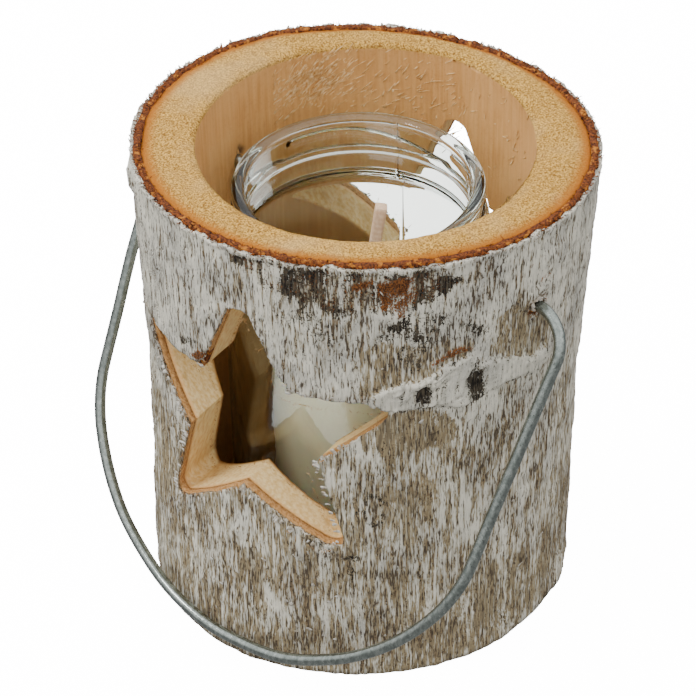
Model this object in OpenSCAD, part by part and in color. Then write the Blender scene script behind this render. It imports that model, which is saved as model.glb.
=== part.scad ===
// Birch log lantern: a bored log with a star cut through both sides, a twist-off
// glass jar standing in the bore, a pillar candle in the jar and a wire bail.
// The origin is the centre of the log's base, +Z is up, and the star faces -Y.

/* [Log] */
// Height of the sawn log
log_h = 170; // [150:1:205]
// Thickness of the wood between the bore and the bark
wall_t = 13.6; // [8:0.2:20]
// Thickness of the orange inner bark
inner_bark_t = 2.2; // [1.5:0.1:4]
// Thickness of the white outer bark
outer_bark_t = 1; // [0.6:0.1:2]
// Height of the bark's lower edge above the sawn base
bark_up = 0.5; // [0.3:0.1:2]
// Radius that the log gains towards its top
flare_out = 2; // [0:0.5:4]
// Height of the flared stretch below the top
flare_h = 60; // [30:1:80]
// Thickness of the wood left under the bore
floor_t = 18; // [10:1:30]
// Gap between the jar's body and the wall of the bore
jar_gap = 9.2; // [7:0.2:14]

/* [Star] */
// Distance from the log's top down to the star's centre
star_below_top = 70.5; // [66:0.5:80]
// Turn of the star's cut about the log's axis, in degrees
star_turn = 5.8; // [-10:0.2:10]
// Reach of each point, from the top one clockwise
star_reach = [46.4, 44.4, 50.4, 53.2, 48.5]; // [40:0.1:56]
// Direction of each point, in degrees, off a regular star's, clockwise
star_lean = [-1.5, -0.3, -1.1, 1.6, -2]; // [-10:0.1:10]
// Distance of each inner corner, from the one right of the top clockwise
star_inner = [24.4, 24.8, 24.1, 25.1, 21.8]; // [18:0.1:32]
// Direction of each inner corner, in degrees, off a regular star's
corner_lean = [-4.8, 0, -1.8, 8.9, 6.3]; // [-12:0.1:12]
// Radius of each rounded point, from the top one clockwise
star_tip_r = [5.5, 4.5, 3.8, 2.8, 1.8]; // [1:0.1:7]

/* [Wire bail] */
// Diameter of the wire
wire_d = 3.8; // [3:0.1:5]
// Clearance round the wire in its hole, on the radius
hole_gap = 0.1; // [0.05:0.01:0.1]
// Distance from the log's top down to the wire holes
hole_below_top = 30.5; // [24:0.5:40]
// Gap between the bark at the top and each side of the bail
bail_gap = 10; // [6:0.5:16]
// Height of the hanging bail's lowest point above the base
bail_floor_gap = 9; // [4:0.5:30]
// Gap between the resting bail and the bark
bail_rest_gap = 0.4; // [0.3:0.1:1]
// Radius of the bend just outside each hole
shoulder_r = 13; // [8:0.5:16]
// Angle by which the bail's sides draw in downwards, in degrees
side_lean = 3.9; // [1:0.1:6]
// Radius of the bail's lower corners
corner_r = 50; // [30:1:55]
// How much flatter than a half circle the bail's bottom is
bottom_flat = 15.3; // [8:0.1:20]
// Radius of the hook bend inside the bore
hook_r = 4; // [3.5:0.1:5]
// Reach of the hook's tail from the hole's axis
hook_reach = 9; // [7:0.5:10]
// Gap between the hook and the wall of the bore
hook_gap = 2.2; // [1.5:0.1:3]

/* [Glass jar] */
// Diameter of the jar's body
jar_d = 87; // [80:0.5:106]
// Height of the jar
jar_h = 135.5; // [110:0.5:160]
// Thickness of the jar's wall
glass_t = 2.5; // [2:0.1:3]
// Thickness of the jar's base
base_t = 5; // [4:0.1:7]
// Height of the concave push-up under the base
punt_h = 2; // [1:0.1:3]
// Radius of the heel between base and wall
heel_r = 6; // [4:0.5:8]
// Radius between floor and wall inside the jar
inner_heel_r = 3; // [2:0.5:4]
// Height of the neck, from shoulder to rim
neck_h = 20.5; // [18:0.5:26]
// Step in from the body to the neck, on the radius
neck_step = 5; // [4:0.1:6]
// Height of the sloping shoulder
shoulder_h = 7; // [5:0.5:12]
// How far the rim's lip stands proud of the neck
lip_out = 1.1; // [0.5:0.1:2]
// Height of the lip
lip_h = 2.8; // [2:0.1:4]
// How far the carrying bead stands proud of the neck
bead_out = 2.6; // [1.5:0.1:3]
// Depth of the carrying bead's middle below the rim
bead_down = 14.2; // [13.5:0.1:16]
// Height of the carrying bead
bead_h = 3.6; // [3:0.1:5]
// Number of thread lugs
lug_count = 4; // [3:1:6]
// Radius of the bar that makes a thread lug
lug_r = 2; // [1.5:0.1:2.4]
// Depth of the thread lugs below the rim
lug_down = 8; // [7:0.1:9]
// Gap between two lugs, in degrees
lug_gap = 12; // [6:1:30]

/* [Candle] */
// Diameter of the candle
candle_d = 64; // [50:0.5:68]
// Height of the candle
candle_h = 80; // [60:1:100]
// Chamfer round the candle's top and bottom edges
candle_edge = 1.2; // [0.5:0.1:3]
// Where the candle stands in the jar, off its axis
candle_at = [1.7, 1.4]; // [-1.7:0.1:1.7]
// Thickness of the square wick
wick_w = 3.8; // [2:0.1:4]
// Length of wick above the wax
wick_free = 41; // [10:1:45]
// Lean of the free wick, in degrees
wick_tilt = 7; // [0:1:10]
// Direction in which the free wick leans, in degrees
wick_side = 40; // [0:5:355]
// Diameter of the sustainer's flange
flange_d = 20; // [14:0.5:30]
// Thickness of the sustainer's sheet
flange_t = 0.5; // [0.3:0.1:1]
// Height of the sustainer's collar
collar_h = 8; // [4:0.5:15]
// Thickness of the collar's wall
collar_t = 0.8; // [0.4:0.1:1]

/* [Hidden] */
$fn = 96;
over = 1;
flare_steps = 6;
tip_steps = 6;
shoulder_steps = 5;
// A bend laps this far into the straight wire at each end, and is this much thinner.
bend_lap = 0.3;
bend_step = 0.03;

// Log
bore_r = jar_d / 2 + jar_gap;
wood_r = bore_r + wall_t;
inner_bark_r = wood_r + inner_bark_t;
log_r = inner_bark_r + outer_bark_t;
flare_z = log_h - flare_h;

// Star
points = len(star_reach);
point_step = 360 / points;
star_z = log_h - star_below_top;

// Bail
wire_r = wire_d / 2;
hole_r = wire_r + hole_gap;
hole_z = log_h - hole_below_top;
rest_out = log_r + wire_r + bail_rest_gap;
rest_down = hole_z - bail_floor_gap - wire_r;
bail_drop = sqrt(rest_out * rest_out + rest_down * rest_down);
rest_angle = asin(rest_out / bail_drop);
bail_half = log_r + flare_out + bail_gap + wire_r;
side_top = [bail_half - shoulder_r + shoulder_r * cos(side_lean),
            -shoulder_r - shoulder_r * sin(side_lean)];
side_end_h = (side_top[0] - bottom_flat - tan(side_lean) * (bail_drop + side_top[1]))
             / (1 - tan(side_lean));
side_len = (bail_drop + side_top[1] - side_end_h) / cos(side_lean);
side_end = side_top - side_len * [sin(side_lean), cos(side_lean)];
corner_c = side_end - corner_r * [cos(side_lean), -sin(side_lean)];
bottom_half_angle = 2 * atan((bail_drop + corner_c[1] - corner_r) / corner_c[0]);
bottom_r = corner_r + corner_c[0] / sin(bottom_half_angle);
hook_x = bore_r - hook_gap - wire_r;

// Jar
jar_r = jar_d / 2;
neck_r = jar_r - neck_step;
neck_z = jar_h - neck_h;
body_top_z = neck_z - shoulder_h;
bead_z = jar_h - bead_down;
lug_z = jar_h - lug_down;
lug_angle = 360 / lug_count - lug_gap;

// Candle
candle_r = candle_d / 2;
candle_z = floor_t + base_t;

// Extra radius of the log at height z: none below flare_z, flare_out at the top.
function flare(z) = z <= flare_z ? 0 : flare_out * pow((z - flare_z) / flare_h, 2);

// Heights at which the log's outline has a point, from the height z0 up.
function flare_levels(z0) = [z0, for (i = [0:flare_steps]) flare_z + flare_h * i / flare_steps];

// Closed outline of a bark layer between two radii that follow the flare.
function bark_outline(r_in, r_out) = concat(
    [for (z = flare_levels(bark_up)) [r_out + flare(z), z]],
    [for (i = [flare_steps + 1:-1:0]) let (z = flare_levels(bark_up)[i]) [r_in + flare(z), z]]);

// A point at a distance and direction from the origin.
function polar(r, a) = r * [cos(a), sin(a)];

// Direction of a star point, and of the inner corner that follows it clockwise.
function point_dir(i) = 90 - i * point_step + star_lean[i];
function corner_dir(i) = 90 - (i + 0.5) * point_step + corner_lean[(i + points) % points];

// Direction of the normal where the line from an inner corner touches the round tip.
function touch_dir(tip_c, r, corner, side) =
    let (v = tip_c - corner)
    atan2(v[1], v[0]) + side * (90 - asin(r / norm(v)));

// The arc round one star point, from its left side to its right side.
function tip_arc(i) =
    let (r = star_tip_r[i])
    let (c = polar(star_reach[i] - r, point_dir(i)))
    let (before = polar(star_inner[(i + points - 1) % points], corner_dir(i - 1)))
    let (after = polar(star_inner[i], corner_dir(i)))
    let (a0 = touch_dir(c, r, before, 1))
    let (a1 = touch_dir(c, r, after, -1))
    let (sweep = (a0 - a1 + 720) % 360)
    [for (k = [0:tip_steps]) c + polar(r, a0 - sweep * k / tip_steps)];

// The whole star, clockwise from its top point.
function star_outline() = [for (i = [0:points - 1])
    each concat(tip_arc(i), [polar(star_inner[i], corner_dir(i))])];

// The straight cut that makes the star on both sides of the log.
module star_cut() {
    length = 2 * (log_r + flare_out + over);
    translate([0, 0, star_z])
        rotate([0, 0, star_turn])
            rotate([90, 0, 0])
                translate([0, 0, -length / 2])
                    linear_extrude(length)
                        polygon(star_outline());
}

// The straight hole that carries the wire through both walls.
module wire_hole() {
    length = 2 * (log_r + flare_out + over);
    translate([-length / 2, 0, hole_z])
        rotate([0, 90, 0])
            cylinder(r = hole_r, h = length, $fn = 32);
}

// One layer of bark with the star and the wire holes cut through it.
module bark_layer(r_in, r_out) {
    difference() {
        rotate_extrude()
            polygon(bark_outline(r_in, r_out));
        star_cut();
        wire_hole();
    }
}

module log_wood() {
    color("burlywood")
        difference() {
            rotate_extrude()
                polygon(concat([[0, log_h], [0, 0]],
                               [for (z = flare_levels(0)) [wood_r + flare(z), z]]));
            translate([0, 0, floor_t])
                cylinder(r = bore_r, h = log_h);
            star_cut();
            wire_hole();
        }
}

module inner_bark() {
    color("chocolate")
        bark_layer(wood_r, inner_bark_r);
}

module outer_bark() {
    color("gainsboro")
        bark_layer(inner_bark_r, log_r);
}

// Outline of the glass, up the outside and down the inside.
function jar_outline() = concat(
    [[0, punt_h], [jar_r - heel_r - punt_h * 2, punt_h], [jar_r - heel_r, 0]],
    [for (a = [-60:30:0]) [jar_r - heel_r, heel_r] + polar(heel_r, a)],
    [for (i = [0:shoulder_steps]) let (t = i / shoulder_steps)
        [jar_r - neck_step * (1 - cos(180 * t)) / 2, body_top_z + shoulder_h * t]],
    [[neck_r, bead_z - bead_h / 2],
     [neck_r + bead_out, bead_z - bead_h / 5],
     [neck_r + bead_out, bead_z + bead_h / 5],
     [neck_r, bead_z + bead_h / 2],
     [neck_r, jar_h - lip_h],
     [neck_r + lip_out, jar_h - lip_h * 0.75],
     [neck_r + lip_out, jar_h - lip_h * 0.3],
     [neck_r + lip_out * 0.3, jar_h],
     [neck_r - glass_t + lip_out * 0.3, jar_h],
     [neck_r - glass_t, jar_h - lip_h * 0.4]],
    [for (i = [shoulder_steps:-1:0]) let (t = i / shoulder_steps)
        [jar_r - glass_t - neck_step * (1 - cos(180 * t)) / 2, body_top_z - 1 + shoulder_h * t]],
    [for (a = [0:-30:-90])
        [jar_r - glass_t - inner_heel_r, base_t + inner_heel_r] + polar(inner_heel_r, a)],
    [[0, base_t]]);

// One thread lug: an arc of round bar sunk into the neck.
module thread_lug() {
    rotate_extrude(angle = lug_angle)
        translate([neck_r, lug_z])
            circle(r = lug_r, $fn = 24);
}

module glass_jar() {
    color("lightcyan", 0.4)
        translate([0, 0, floor_t])
            union() {
                rotate_extrude()
                    polygon(jar_outline());
                for (i = [0:lug_count - 1])
                    rotate([0, 0, i * 360 / lug_count])
                        thread_lug();
            }
}

// The upright stretch of wick, from height z0 to z1 above the candle's base.
module wick_bar(z0, z1) {
    translate([-wick_w / 2, -wick_w / 2, z0])
        cube([wick_w, wick_w, z1 - z0]);
}

// The outline of the sustainer's collar, round the square wick.
module collar() {
    cylinder(d = wick_w * sqrt(2) + 2 * collar_t, h = flange_t + collar_h);
}

module candle_wax() {
    color("wheat")
        translate([candle_at[0], candle_at[1], candle_z])
            difference() {
                rotate_extrude()
                    polygon([[0, 0], [candle_r - candle_edge, 0], [candle_r, candle_edge],
                             [candle_r, candle_h - candle_edge],
                             [candle_r - candle_edge, candle_h], [0, candle_h]]);
                rotate([0, 0, wick_side])
                    wick_bar(-over, candle_h + over);
                translate([0, 0, -over])
                    cylinder(d = flange_d, h = flange_t + over);
                collar();
            }
}

module wick() {
    color("ivory")
        translate([candle_at[0], candle_at[1], candle_z])
            rotate([0, 0, wick_side])
                union() {
                    wick_bar(flange_t, candle_h + wick_w / 2);
                    translate([0, 0, candle_h + wick_w / 2])
                        rotate([0, wick_tilt, 0])
                            translate([-wick_w / 2, -wick_w / 2, -wick_w / 4])
                                cube([wick_w, wick_w, wick_free - wick_w / 4]);
                }
}

module wick_sustainer() {
    color("silver")
        translate([candle_at[0], candle_at[1], candle_z])
            rotate([0, 0, wick_side])
                difference() {
                    union() {
                        cylinder(d = flange_d, h = flange_t);
                        collar();
                    }
                    wick_bar(flange_t, flange_t + collar_h + over);
                }
}

// An arc of wire in the bail's plane, from angle a0 to a1 about the centre c.
module wire_arc(c, r, a0, a1, thickness = wire_r) {
    translate(c)
        rotate([0, 0, a0])
            rotate_extrude(angle = a1 - a0)
                translate([r, 0])
                    circle(r = thickness, $fn = 24);
}

// A bend between two stretches: it laps into both and is a hair thinner, so they join.
module wire_bend(c, r, a0, a1) {
    lap_angle = bend_lap / r * 180 / PI;
    wire_arc(c, r, a0 - lap_angle, a1 + lap_angle, wire_r - bend_step);
}

// A straight stretch of wire in the bail's plane, from point a along direction dir.
module wire_run(a, dir, length) {
    translate(a)
        rotate([0, 90, dir])
            cylinder(r = wire_r, h = length, $fn = 24);
}

// The right side of the bail, drawn flat with the hole's axis along X.
module bail_side() {
    wire_bend(corner_c, corner_r, bottom_half_angle - 90, -side_lean);
    wire_run(side_end, 90 - side_lean, side_len);
    wire_bend([bail_half - shoulder_r, -shoulder_r], shoulder_r, -side_lean, 90);
    wire_run([hook_x + hook_r, 0], 0, bail_half - shoulder_r - hook_x - hook_r);
    wire_bend([hook_x + hook_r, -hook_r], hook_r, 90, 180);
    wire_run([hook_x, -hook_r], -90, hook_reach - hook_r);
}

module wire_handle() {
    color("darkgray")
        translate([0, 0, hole_z])
            rotate([-rest_angle, 0, 0])
                rotate([90, 0, 0])
                    union() {
                        wire_arc([0, bottom_r - bail_drop], bottom_r,
                                 -90 - bottom_half_angle, bottom_half_angle - 90);
                        bail_side();
                        mirror([1, 0, 0])
                            bail_side();
                    }
}

log_wood();
inner_bark();
outer_bark();
glass_jar();
candle_wax();
wick();
wick_sustainer();
wire_handle();
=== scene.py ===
"""Birch log lantern: a hollow birch log with a star cut through it, a wire bail, a glass jar and a candle.

Sizes in the formulas are millimetres; a mesh is scaled to metres when it is made. The star looks
towards -Y, the bail's axis is X, and the centre of the log's base is the origin.
"""

import math

import bmesh
import bpy
import numpy as np
from bpy.props import FloatProperty, IntProperty, PointerProperty, StringProperty
from mathutils import Matrix, Vector


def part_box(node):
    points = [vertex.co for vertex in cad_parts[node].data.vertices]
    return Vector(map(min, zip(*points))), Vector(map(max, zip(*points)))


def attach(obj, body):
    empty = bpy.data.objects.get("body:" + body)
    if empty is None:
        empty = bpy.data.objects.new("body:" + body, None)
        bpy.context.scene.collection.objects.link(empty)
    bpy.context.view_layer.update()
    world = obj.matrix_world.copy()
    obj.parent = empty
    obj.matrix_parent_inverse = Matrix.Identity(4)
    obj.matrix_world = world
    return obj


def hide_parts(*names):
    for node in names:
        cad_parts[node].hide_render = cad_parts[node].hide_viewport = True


bl_info = {
    "name": "Birch log lantern",
    "version": (1, 0, 0),
    "blender": (4, 5, 0),
    "location": "View3D > Sidebar > Lantern",
    "description": "Makes the bark, wood, jar, candle and bail of a birch log lantern",
    "category": "Add Mesh",
}

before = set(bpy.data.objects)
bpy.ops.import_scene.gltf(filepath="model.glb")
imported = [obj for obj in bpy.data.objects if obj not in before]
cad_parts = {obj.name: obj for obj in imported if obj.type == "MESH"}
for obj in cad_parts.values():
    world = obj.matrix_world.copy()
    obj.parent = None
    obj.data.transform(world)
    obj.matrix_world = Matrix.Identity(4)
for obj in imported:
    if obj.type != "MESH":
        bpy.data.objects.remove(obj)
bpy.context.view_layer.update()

# The corners of the CAD pieces that the visual pieces are sized by, in mm to a hundredth.
lowest, highest = {}, {}
for node in ("log_wood", "glass_jar", "candle_wax", "wire_handle"):
    lowest[node], highest[node] = (np.round(np.array(corner) * 1000.0, 2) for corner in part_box(node))

# Sizes that the whole object shares, as in the CAD model.
LOG_H, FLOOR_T = highest["log_wood"][2], lowest["glass_jar"][2]
OUTER_T, INNER_T, PEEL_GAP = 1.0, 2.2, 0.03
STAR_Z, STAR_TURN = 99.5, 5.8
TIP_R = np.array([5.5, 4.5, 3.8, 2.8, 1.8])
STAR_REACH = np.array([46.4, 44.4, 50.4, 53.2, 48.5])
STAR_LEAN = np.array([-1.5, -0.3, -1.1, 1.6, -2.0])
STAR_INNER = np.array([24.4, 24.8, 24.1, 25.1, 21.8])
CORNER_LEAN = np.array([-4.8, 0.0, -1.8, 8.9, 6.3])
WIRE_R, HOLE_R = 1.9, 2.0
HOLE_Z = round(highest["wire_handle"][2] - WIRE_R, 2)
JAR_Z, JAR_R = FLOOR_T, highest["glass_jar"][0]
JAR_H = highest["glass_jar"][2] - JAR_Z
WAX_AT = np.array([1.7, 1.4])
WAX_Z, WAX_R = lowest["candle_wax"][2], round(highest["candle_wax"][0] - WAX_AT[0], 2)
WAX_H = highest["candle_wax"][2] - WAX_Z
WICK_SIDE = math.radians(40.0)
# Where the jar's mould seam is, in degrees round the axis from +X.
SEAM = 110.7
# The bark is laid flat as if its radius were this, for marks on it and for rays from the star.
FLAT_R = 70.0


# ---------------------------------------------------------------- numbers


def steps(x, low, high):
    """A smooth step: 0 below low, 1 above high, and 3t^2 - 2t^3 between them."""
    t = np.clip((x - low) / (high - low), 0.0, 1.0)
    return t * t * (3.0 - 2.0 * t)


def value_noise(p, seed):
    """Random numbers on a cubic lattice of unit pitch, blended with smooth weights, from -1 to 1."""
    table = np.random.default_rng(seed).random((64, 64, 64)) * 2.0 - 1.0
    cell = np.floor(p).astype(int)
    f = p - cell
    f = f * f * (3.0 - 2.0 * f)
    total = 0.0
    for dx in (0, 1):
        for dy in (0, 1):
            for dz in (0, 1):
                corner = (cell + (dx, dy, dz)) % 64
                weight = np.abs(
                    1 - dx - f[..., 0]
                ) * np.abs(1 - dy - f[..., 1]) * np.abs(1 - dz - f[..., 2])
                total = total + weight * table[corner[..., 0], corner[..., 1], corner[..., 2]]
    return total


def grain(x, y, z, pitch, seed, octaves=3):
    """A sum of value noises, each half the size and half the height of the one before.

    pitch is the size of the largest lumps in mm along x, y and z."""
    p = np.stack([x / pitch[0], y / pitch[1], z / pitch[2]], -1)
    return sum(value_noise(p * 2.0**k + 7.3 * k, seed + k) / 2.0**k for k in range(octaves))


def srgb(text):
    """A colour as hex digits, made linear by the sRGB curve."""
    c = np.array([int(text[i : i + 2], 16) for i in (0, 2, 4)]) / 255.0
    return tuple(np.where(c <= 0.04045, c / 12.92, ((c + 0.055) / 1.055) ** 2.4)) + (1.0,)


# ---------------------------------------------------------------- the log's surfaces


def log_radius(theta, z):
    """Distance from the axis to the bark: an oval with a third lobe at the top, a plainer oval at the
    base, blended up the height, less a slight waist that is a half sine of the height."""
    t = z / LOG_H
    c = theta - math.radians(40.6)
    top = 69.7 + 2.9 * np.cos(2 * c) - 1.8 * np.sin(2 * c) + 0.6 * np.cos(3 * c) - 0.4 * np.sin(3 * c)
    top = top + 1.3 * np.cos(theta) + 1.1 * np.sin(theta)
    base = 68.8 + 2.3 * np.cos(2 * c) + 0.3 * np.sin(2 * c) - 2.0 * np.cos(theta) + 1.3 * np.sin(theta)
    return base + (top - base) * t - 1.8 * np.sin(math.pi * np.clip(t, 0, 1))


def bore_radius(theta, z):
    """Distance from the axis to the bore's wall: a circle whose centre is a little off the axis."""
    return 52.7 + 1.6 * np.cos(theta) + 2.0 * np.sin(theta) + 0.0 * z


def star_outline(arc_points=9):
    """The star, clockwise from its top: a round tip at each reach, joined by straight lines that touch
    the tips and meet at the inner corners."""
    i = np.arange(5)
    tip_dir = np.radians(90 - 72 * i + STAR_LEAN)
    corner_dir = np.radians(90 - 72 * (i + 0.5) + CORNER_LEAN)
    tip = (STAR_REACH - TIP_R)[:, None] * np.stack([np.cos(tip_dir), np.sin(tip_dir)], -1)
    after = STAR_INNER[:, None] * np.stack([np.cos(corner_dir), np.sin(corner_dir)], -1)
    before = np.roll(after, 1, axis=0)

    def touch(corner, side):
        v = tip - corner
        away = np.pi / 2 - np.arcsin(TIP_R / np.hypot(v[:, 0], v[:, 1]))
        return np.arctan2(v[:, 1], v[:, 0]) + side * away

    first, last = touch(before, 1), touch(after, -1)
    sweep = (first - last) % (2 * np.pi)
    a = first[:, None] - sweep[:, None] * np.linspace(0, 1, arc_points)
    arcs = tip[:, None, :] + TIP_R[:, None, None] * np.stack([np.cos(a), np.sin(a)], -1)
    return np.concatenate([arcs, after[:, None, :]], axis=1).reshape(-1, 2)


class StarGrid:
    """Rays from the star's centre to the edges of half a wall laid flat.

    u and w are where each ray crosses the star; a and h are where it meets the half wall's edge, as an
    angle from its middle and a share of its height. The rays pass through every corner of both."""

    def __init__(self, star_rays, edge_rays):
        outline = star_outline()
        closed = np.vstack([outline, outline[:1]])
        run = np.r_[0, np.cumsum(np.hypot(*np.diff(closed, axis=0).T))]
        dense = np.unique(np.r_[np.linspace(0, run[-1], 6000)[:-1], run[:-1]])
        u, w = np.interp(dense, run, closed[:, 0]), np.interp(dense, run, closed[:, 1])
        flat = lambda uu: FLAT_R * np.arcsin(uu / FLAT_R)
        way = np.arctan2(w, flat(u))
        order = np.argsort(way)
        way, u, w = way[order], u[order], w[order]
        even = np.linspace(0, run[-1], star_rays, endpoint=False)
        su, sw = np.interp(even, run, closed[:, 0]), np.interp(even, run, closed[:, 1])
        rays = np.arctan2(np.r_[sw, outline[:, 1]], flat(np.r_[su, outline[:, 0]]))
        half_w, up, down = FLAT_R * math.pi / 2, LOG_H - STAR_Z, STAR_Z
        box = np.array([[half_w, up], [half_w, -down], [-half_w, -down], [-half_w, up], [half_w, up]])
        box_run = np.r_[0, np.cumsum(np.abs(np.diff(box, axis=0)).sum(1))]
        at = np.r_[np.linspace(0, box_run[-1], edge_rays, endpoint=False), box_run[:-1]]
        bx, by = np.interp(at, box_run, box[:, 0]), np.interp(at, box_run, box[:, 1])
        must = np.r_[np.arctan2(outline[:, 1], flat(outline[:, 0])), np.arctan2(box[:4, 1], box[:4, 0])]
        rays = np.sort(np.r_[rays, np.arctan2(by, bx)])
        near = np.abs(rays[:, None] - must[None, :]).min(1)
        rays = np.unique(np.r_[rays[near > 1e-3], must])
        rays = rays[np.r_[True, np.diff(rays) > 4e-4]]
        self.way = rays
        self.u = np.interp(rays, way, u, period=2 * np.pi)
        self.w = np.interp(rays, way, w, period=2 * np.pi)
        c, s = np.cos(rays), np.sin(rays)
        far = np.minimum(half_w / np.abs(c), np.where(s > 0, up, down) / np.abs(s))
        self.a = np.clip(far * c, -half_w, half_w) / FLAT_R
        self.h = np.clip((far * s + down) / LOG_H, 0, 1)
        self.a = np.where(
            np.abs(np.abs(self.a) - math.pi / 2) < 1e-09, np.sign(self.a) * math.pi / 2, self.a
        )
        self.h = np.where(self.h > 1 - 1e-9, 1.0, np.where(self.h < 1e-9, 0.0, self.h))
        self.top = (self.h == 1) & (np.roll(self.h, -1) == 1)
        self.base = (self.h == 0) & (np.roll(self.h, -1) == 0)


def half_wall(grid, side, radius, low, high, rings, peel=0.0):
    """Half of a wall with the star in it: rings blend from the star's edge out to the half's edge.

    The star is cut straight along its own Y, so on a wall of another radius it keeps its u and w, and
    its angle is arcsin(u / radius). side is -1 at the front and 1 at the back."""
    turn = math.radians(STAR_TURN)
    theta = lambda a: turn - math.pi / 2 + a if side < 0 else turn + math.pi / 2 - a
    height = STAR_Z + grid.w
    a = np.arcsin(grid.u / FLAT_R)
    for _ in range(8):
        a = np.arcsin(np.clip(grid.u / radius(theta(a), height), -1, 1))
    da, dh = grid.a - a, low + grid.h * (high - low) - height
    first = peel / np.hypot(da * FLAT_R, dh)
    x = np.linspace(0, 1, rings + 1)[:, None]
    s = first + (1 - first) * (0.6 * x + 0.4 * x * x)
    angle, z = theta(a + da * s), height + dh * s
    r = radius(angle, z)
    return np.stack([r * np.cos(angle), r * np.sin(angle), z], -1)


def quads(rows, columns, closed=True, only=None):
    """The four-sided faces of a grid of points, going round each row if it is closed."""
    j, k = np.meshgrid(np.arange(rows - 1), np.arange(columns if closed else columns - 1), indexing="ij")
    if only is not None:
        j, k = j[:, only], k[:, only]
    n = (k + 1) % columns
    return np.stack(
        [j * columns + k, j * columns + n, (j + 1) * columns + n, (j + 1) * columns + k], -1
    ).reshape(-1, 4)


def sheet_patch(points, only=None, closed=True):
    """A grid of points as a patch: the points in one list and the faces that join them."""
    return points.reshape(-1, 3), quads(points.shape[0], points.shape[1], closed, only)


def ruled_patch(a, b, rows, only=None):
    """Straight lines from each point of line a to the same point of line b, cut into rows."""
    t = np.linspace(0, 1, rows + 1)[:, None, None]
    return sheet_patch(a * (1 - t) + b * t, only)


def weld(patches):
    """Joins patches into one skin. Points that agree to a thousandth of a mm become one point."""
    starts = np.cumsum([0] + [len(p) for p, _ in patches[:-1]])
    points = np.concatenate([p for p, _ in patches])
    faces = np.concatenate([f + s for (_, f), s in zip(patches, starts)])
    key = np.round(points * 1000).astype(np.int64)
    _, first, index = np.unique(key, axis=0, return_index=True, return_inverse=True)
    return points[first], index.reshape(-1)[faces]


def lathe(profile, around, centre=(0.0, 0.0)):
    """A profile of (radius, height) pairs carried once round a vertical axis, at an even number of
    angles or at the angles given."""
    a = around if np.ndim(around) else np.linspace(0, 2 * np.pi, around, endpoint=False)
    r, z = profile[:, 0][:, None], profile[:, 1][:, None]
    x = centre[0] + r * np.cos(a)
    y = centre[1] + r * np.sin(a)
    return np.stack([x, y, z + 0 * x], -1)


def tube(path, radius, around=16):
    """A round bar along a path: at each point, a circle square to the path, carried on without twist
    by taking the part of a fixed direction that is square to the path. Both ends are closed."""
    run = np.gradient(path, axis=0)
    run /= np.linalg.norm(run, axis=1)[:, None]
    flat = path - path.mean(0)
    face = np.linalg.svd(flat, full_matrices=False)[2][2]
    side = np.cross(run, face)
    side /= np.linalg.norm(side, axis=1)[:, None]
    other = np.cross(run, side)
    a = np.linspace(0, 2 * np.pi, around, endpoint=False)
    ring = side[:, None] * np.cos(a)[None, :, None] + other[:, None] * np.sin(a)[None, :, None]
    points = path[:, None] + ring * np.reshape(radius, (-1, 1, 1))
    dome = lambda i, way: path[i] + ring[i] * np.reshape(radius, -1)[i] * 0.72 + way * run[i] * 0.45
    ends = [np.repeat(path[None, [0]], around, 1).reshape(1, around, 3) - run[0] * 0.6, dome(0, -1)[None]]
    last = [dome(-1, 1)[None], np.repeat(path[None, [-1]], around, 1).reshape(1, around, 3) + run[-1] * 0.6]
    return np.concatenate(ends + [points] + last)


def slivers(foot, along, across, bend, length, width, thick, taper=0.85):
    """Many small bars at once. Each runs from its foot along a parabola, foot + along L s + bend L s^2,
    and gets narrower as 1 - taper s^2; its section is a flat four-sided one."""
    s = np.array([0.0, 0.34, 0.68, 1.0])
    spine = (
        foot[:, None]
        + (along * length[:, None])[:, None] * s[:, None]
        + (bend * length[:, None])[:, None] * s[:, None] ** 2
    )
    lead = along[:, None] + 2 * bend[:, None] * s[:, None]
    up = np.cross(lead, across[:, None])
    up /= np.linalg.norm(up, axis=-1, keepdims=True) + 1e-9
    shrink = (1 - taper * s**2)[None, :, None]
    w = across[:, None] * width[:, None, None] * 0.5 * shrink
    t = up * thick[:, None, None] * 0.5 * (1 - 0.5 * s**2)[None, :, None]
    points = np.stack([spine + w + t, spine - w + t, spine - w - t, spine + w - t], 2)
    body = quads(4, 4)
    one = np.vstack([body, [[3, 2, 1, 0]], [[12, 13, 14, 15]]])
    faces = one[None] + 16 * np.arange(len(foot))[:, None, None]
    return points.reshape(-1, 3), faces.reshape(-1, 4)


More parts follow.
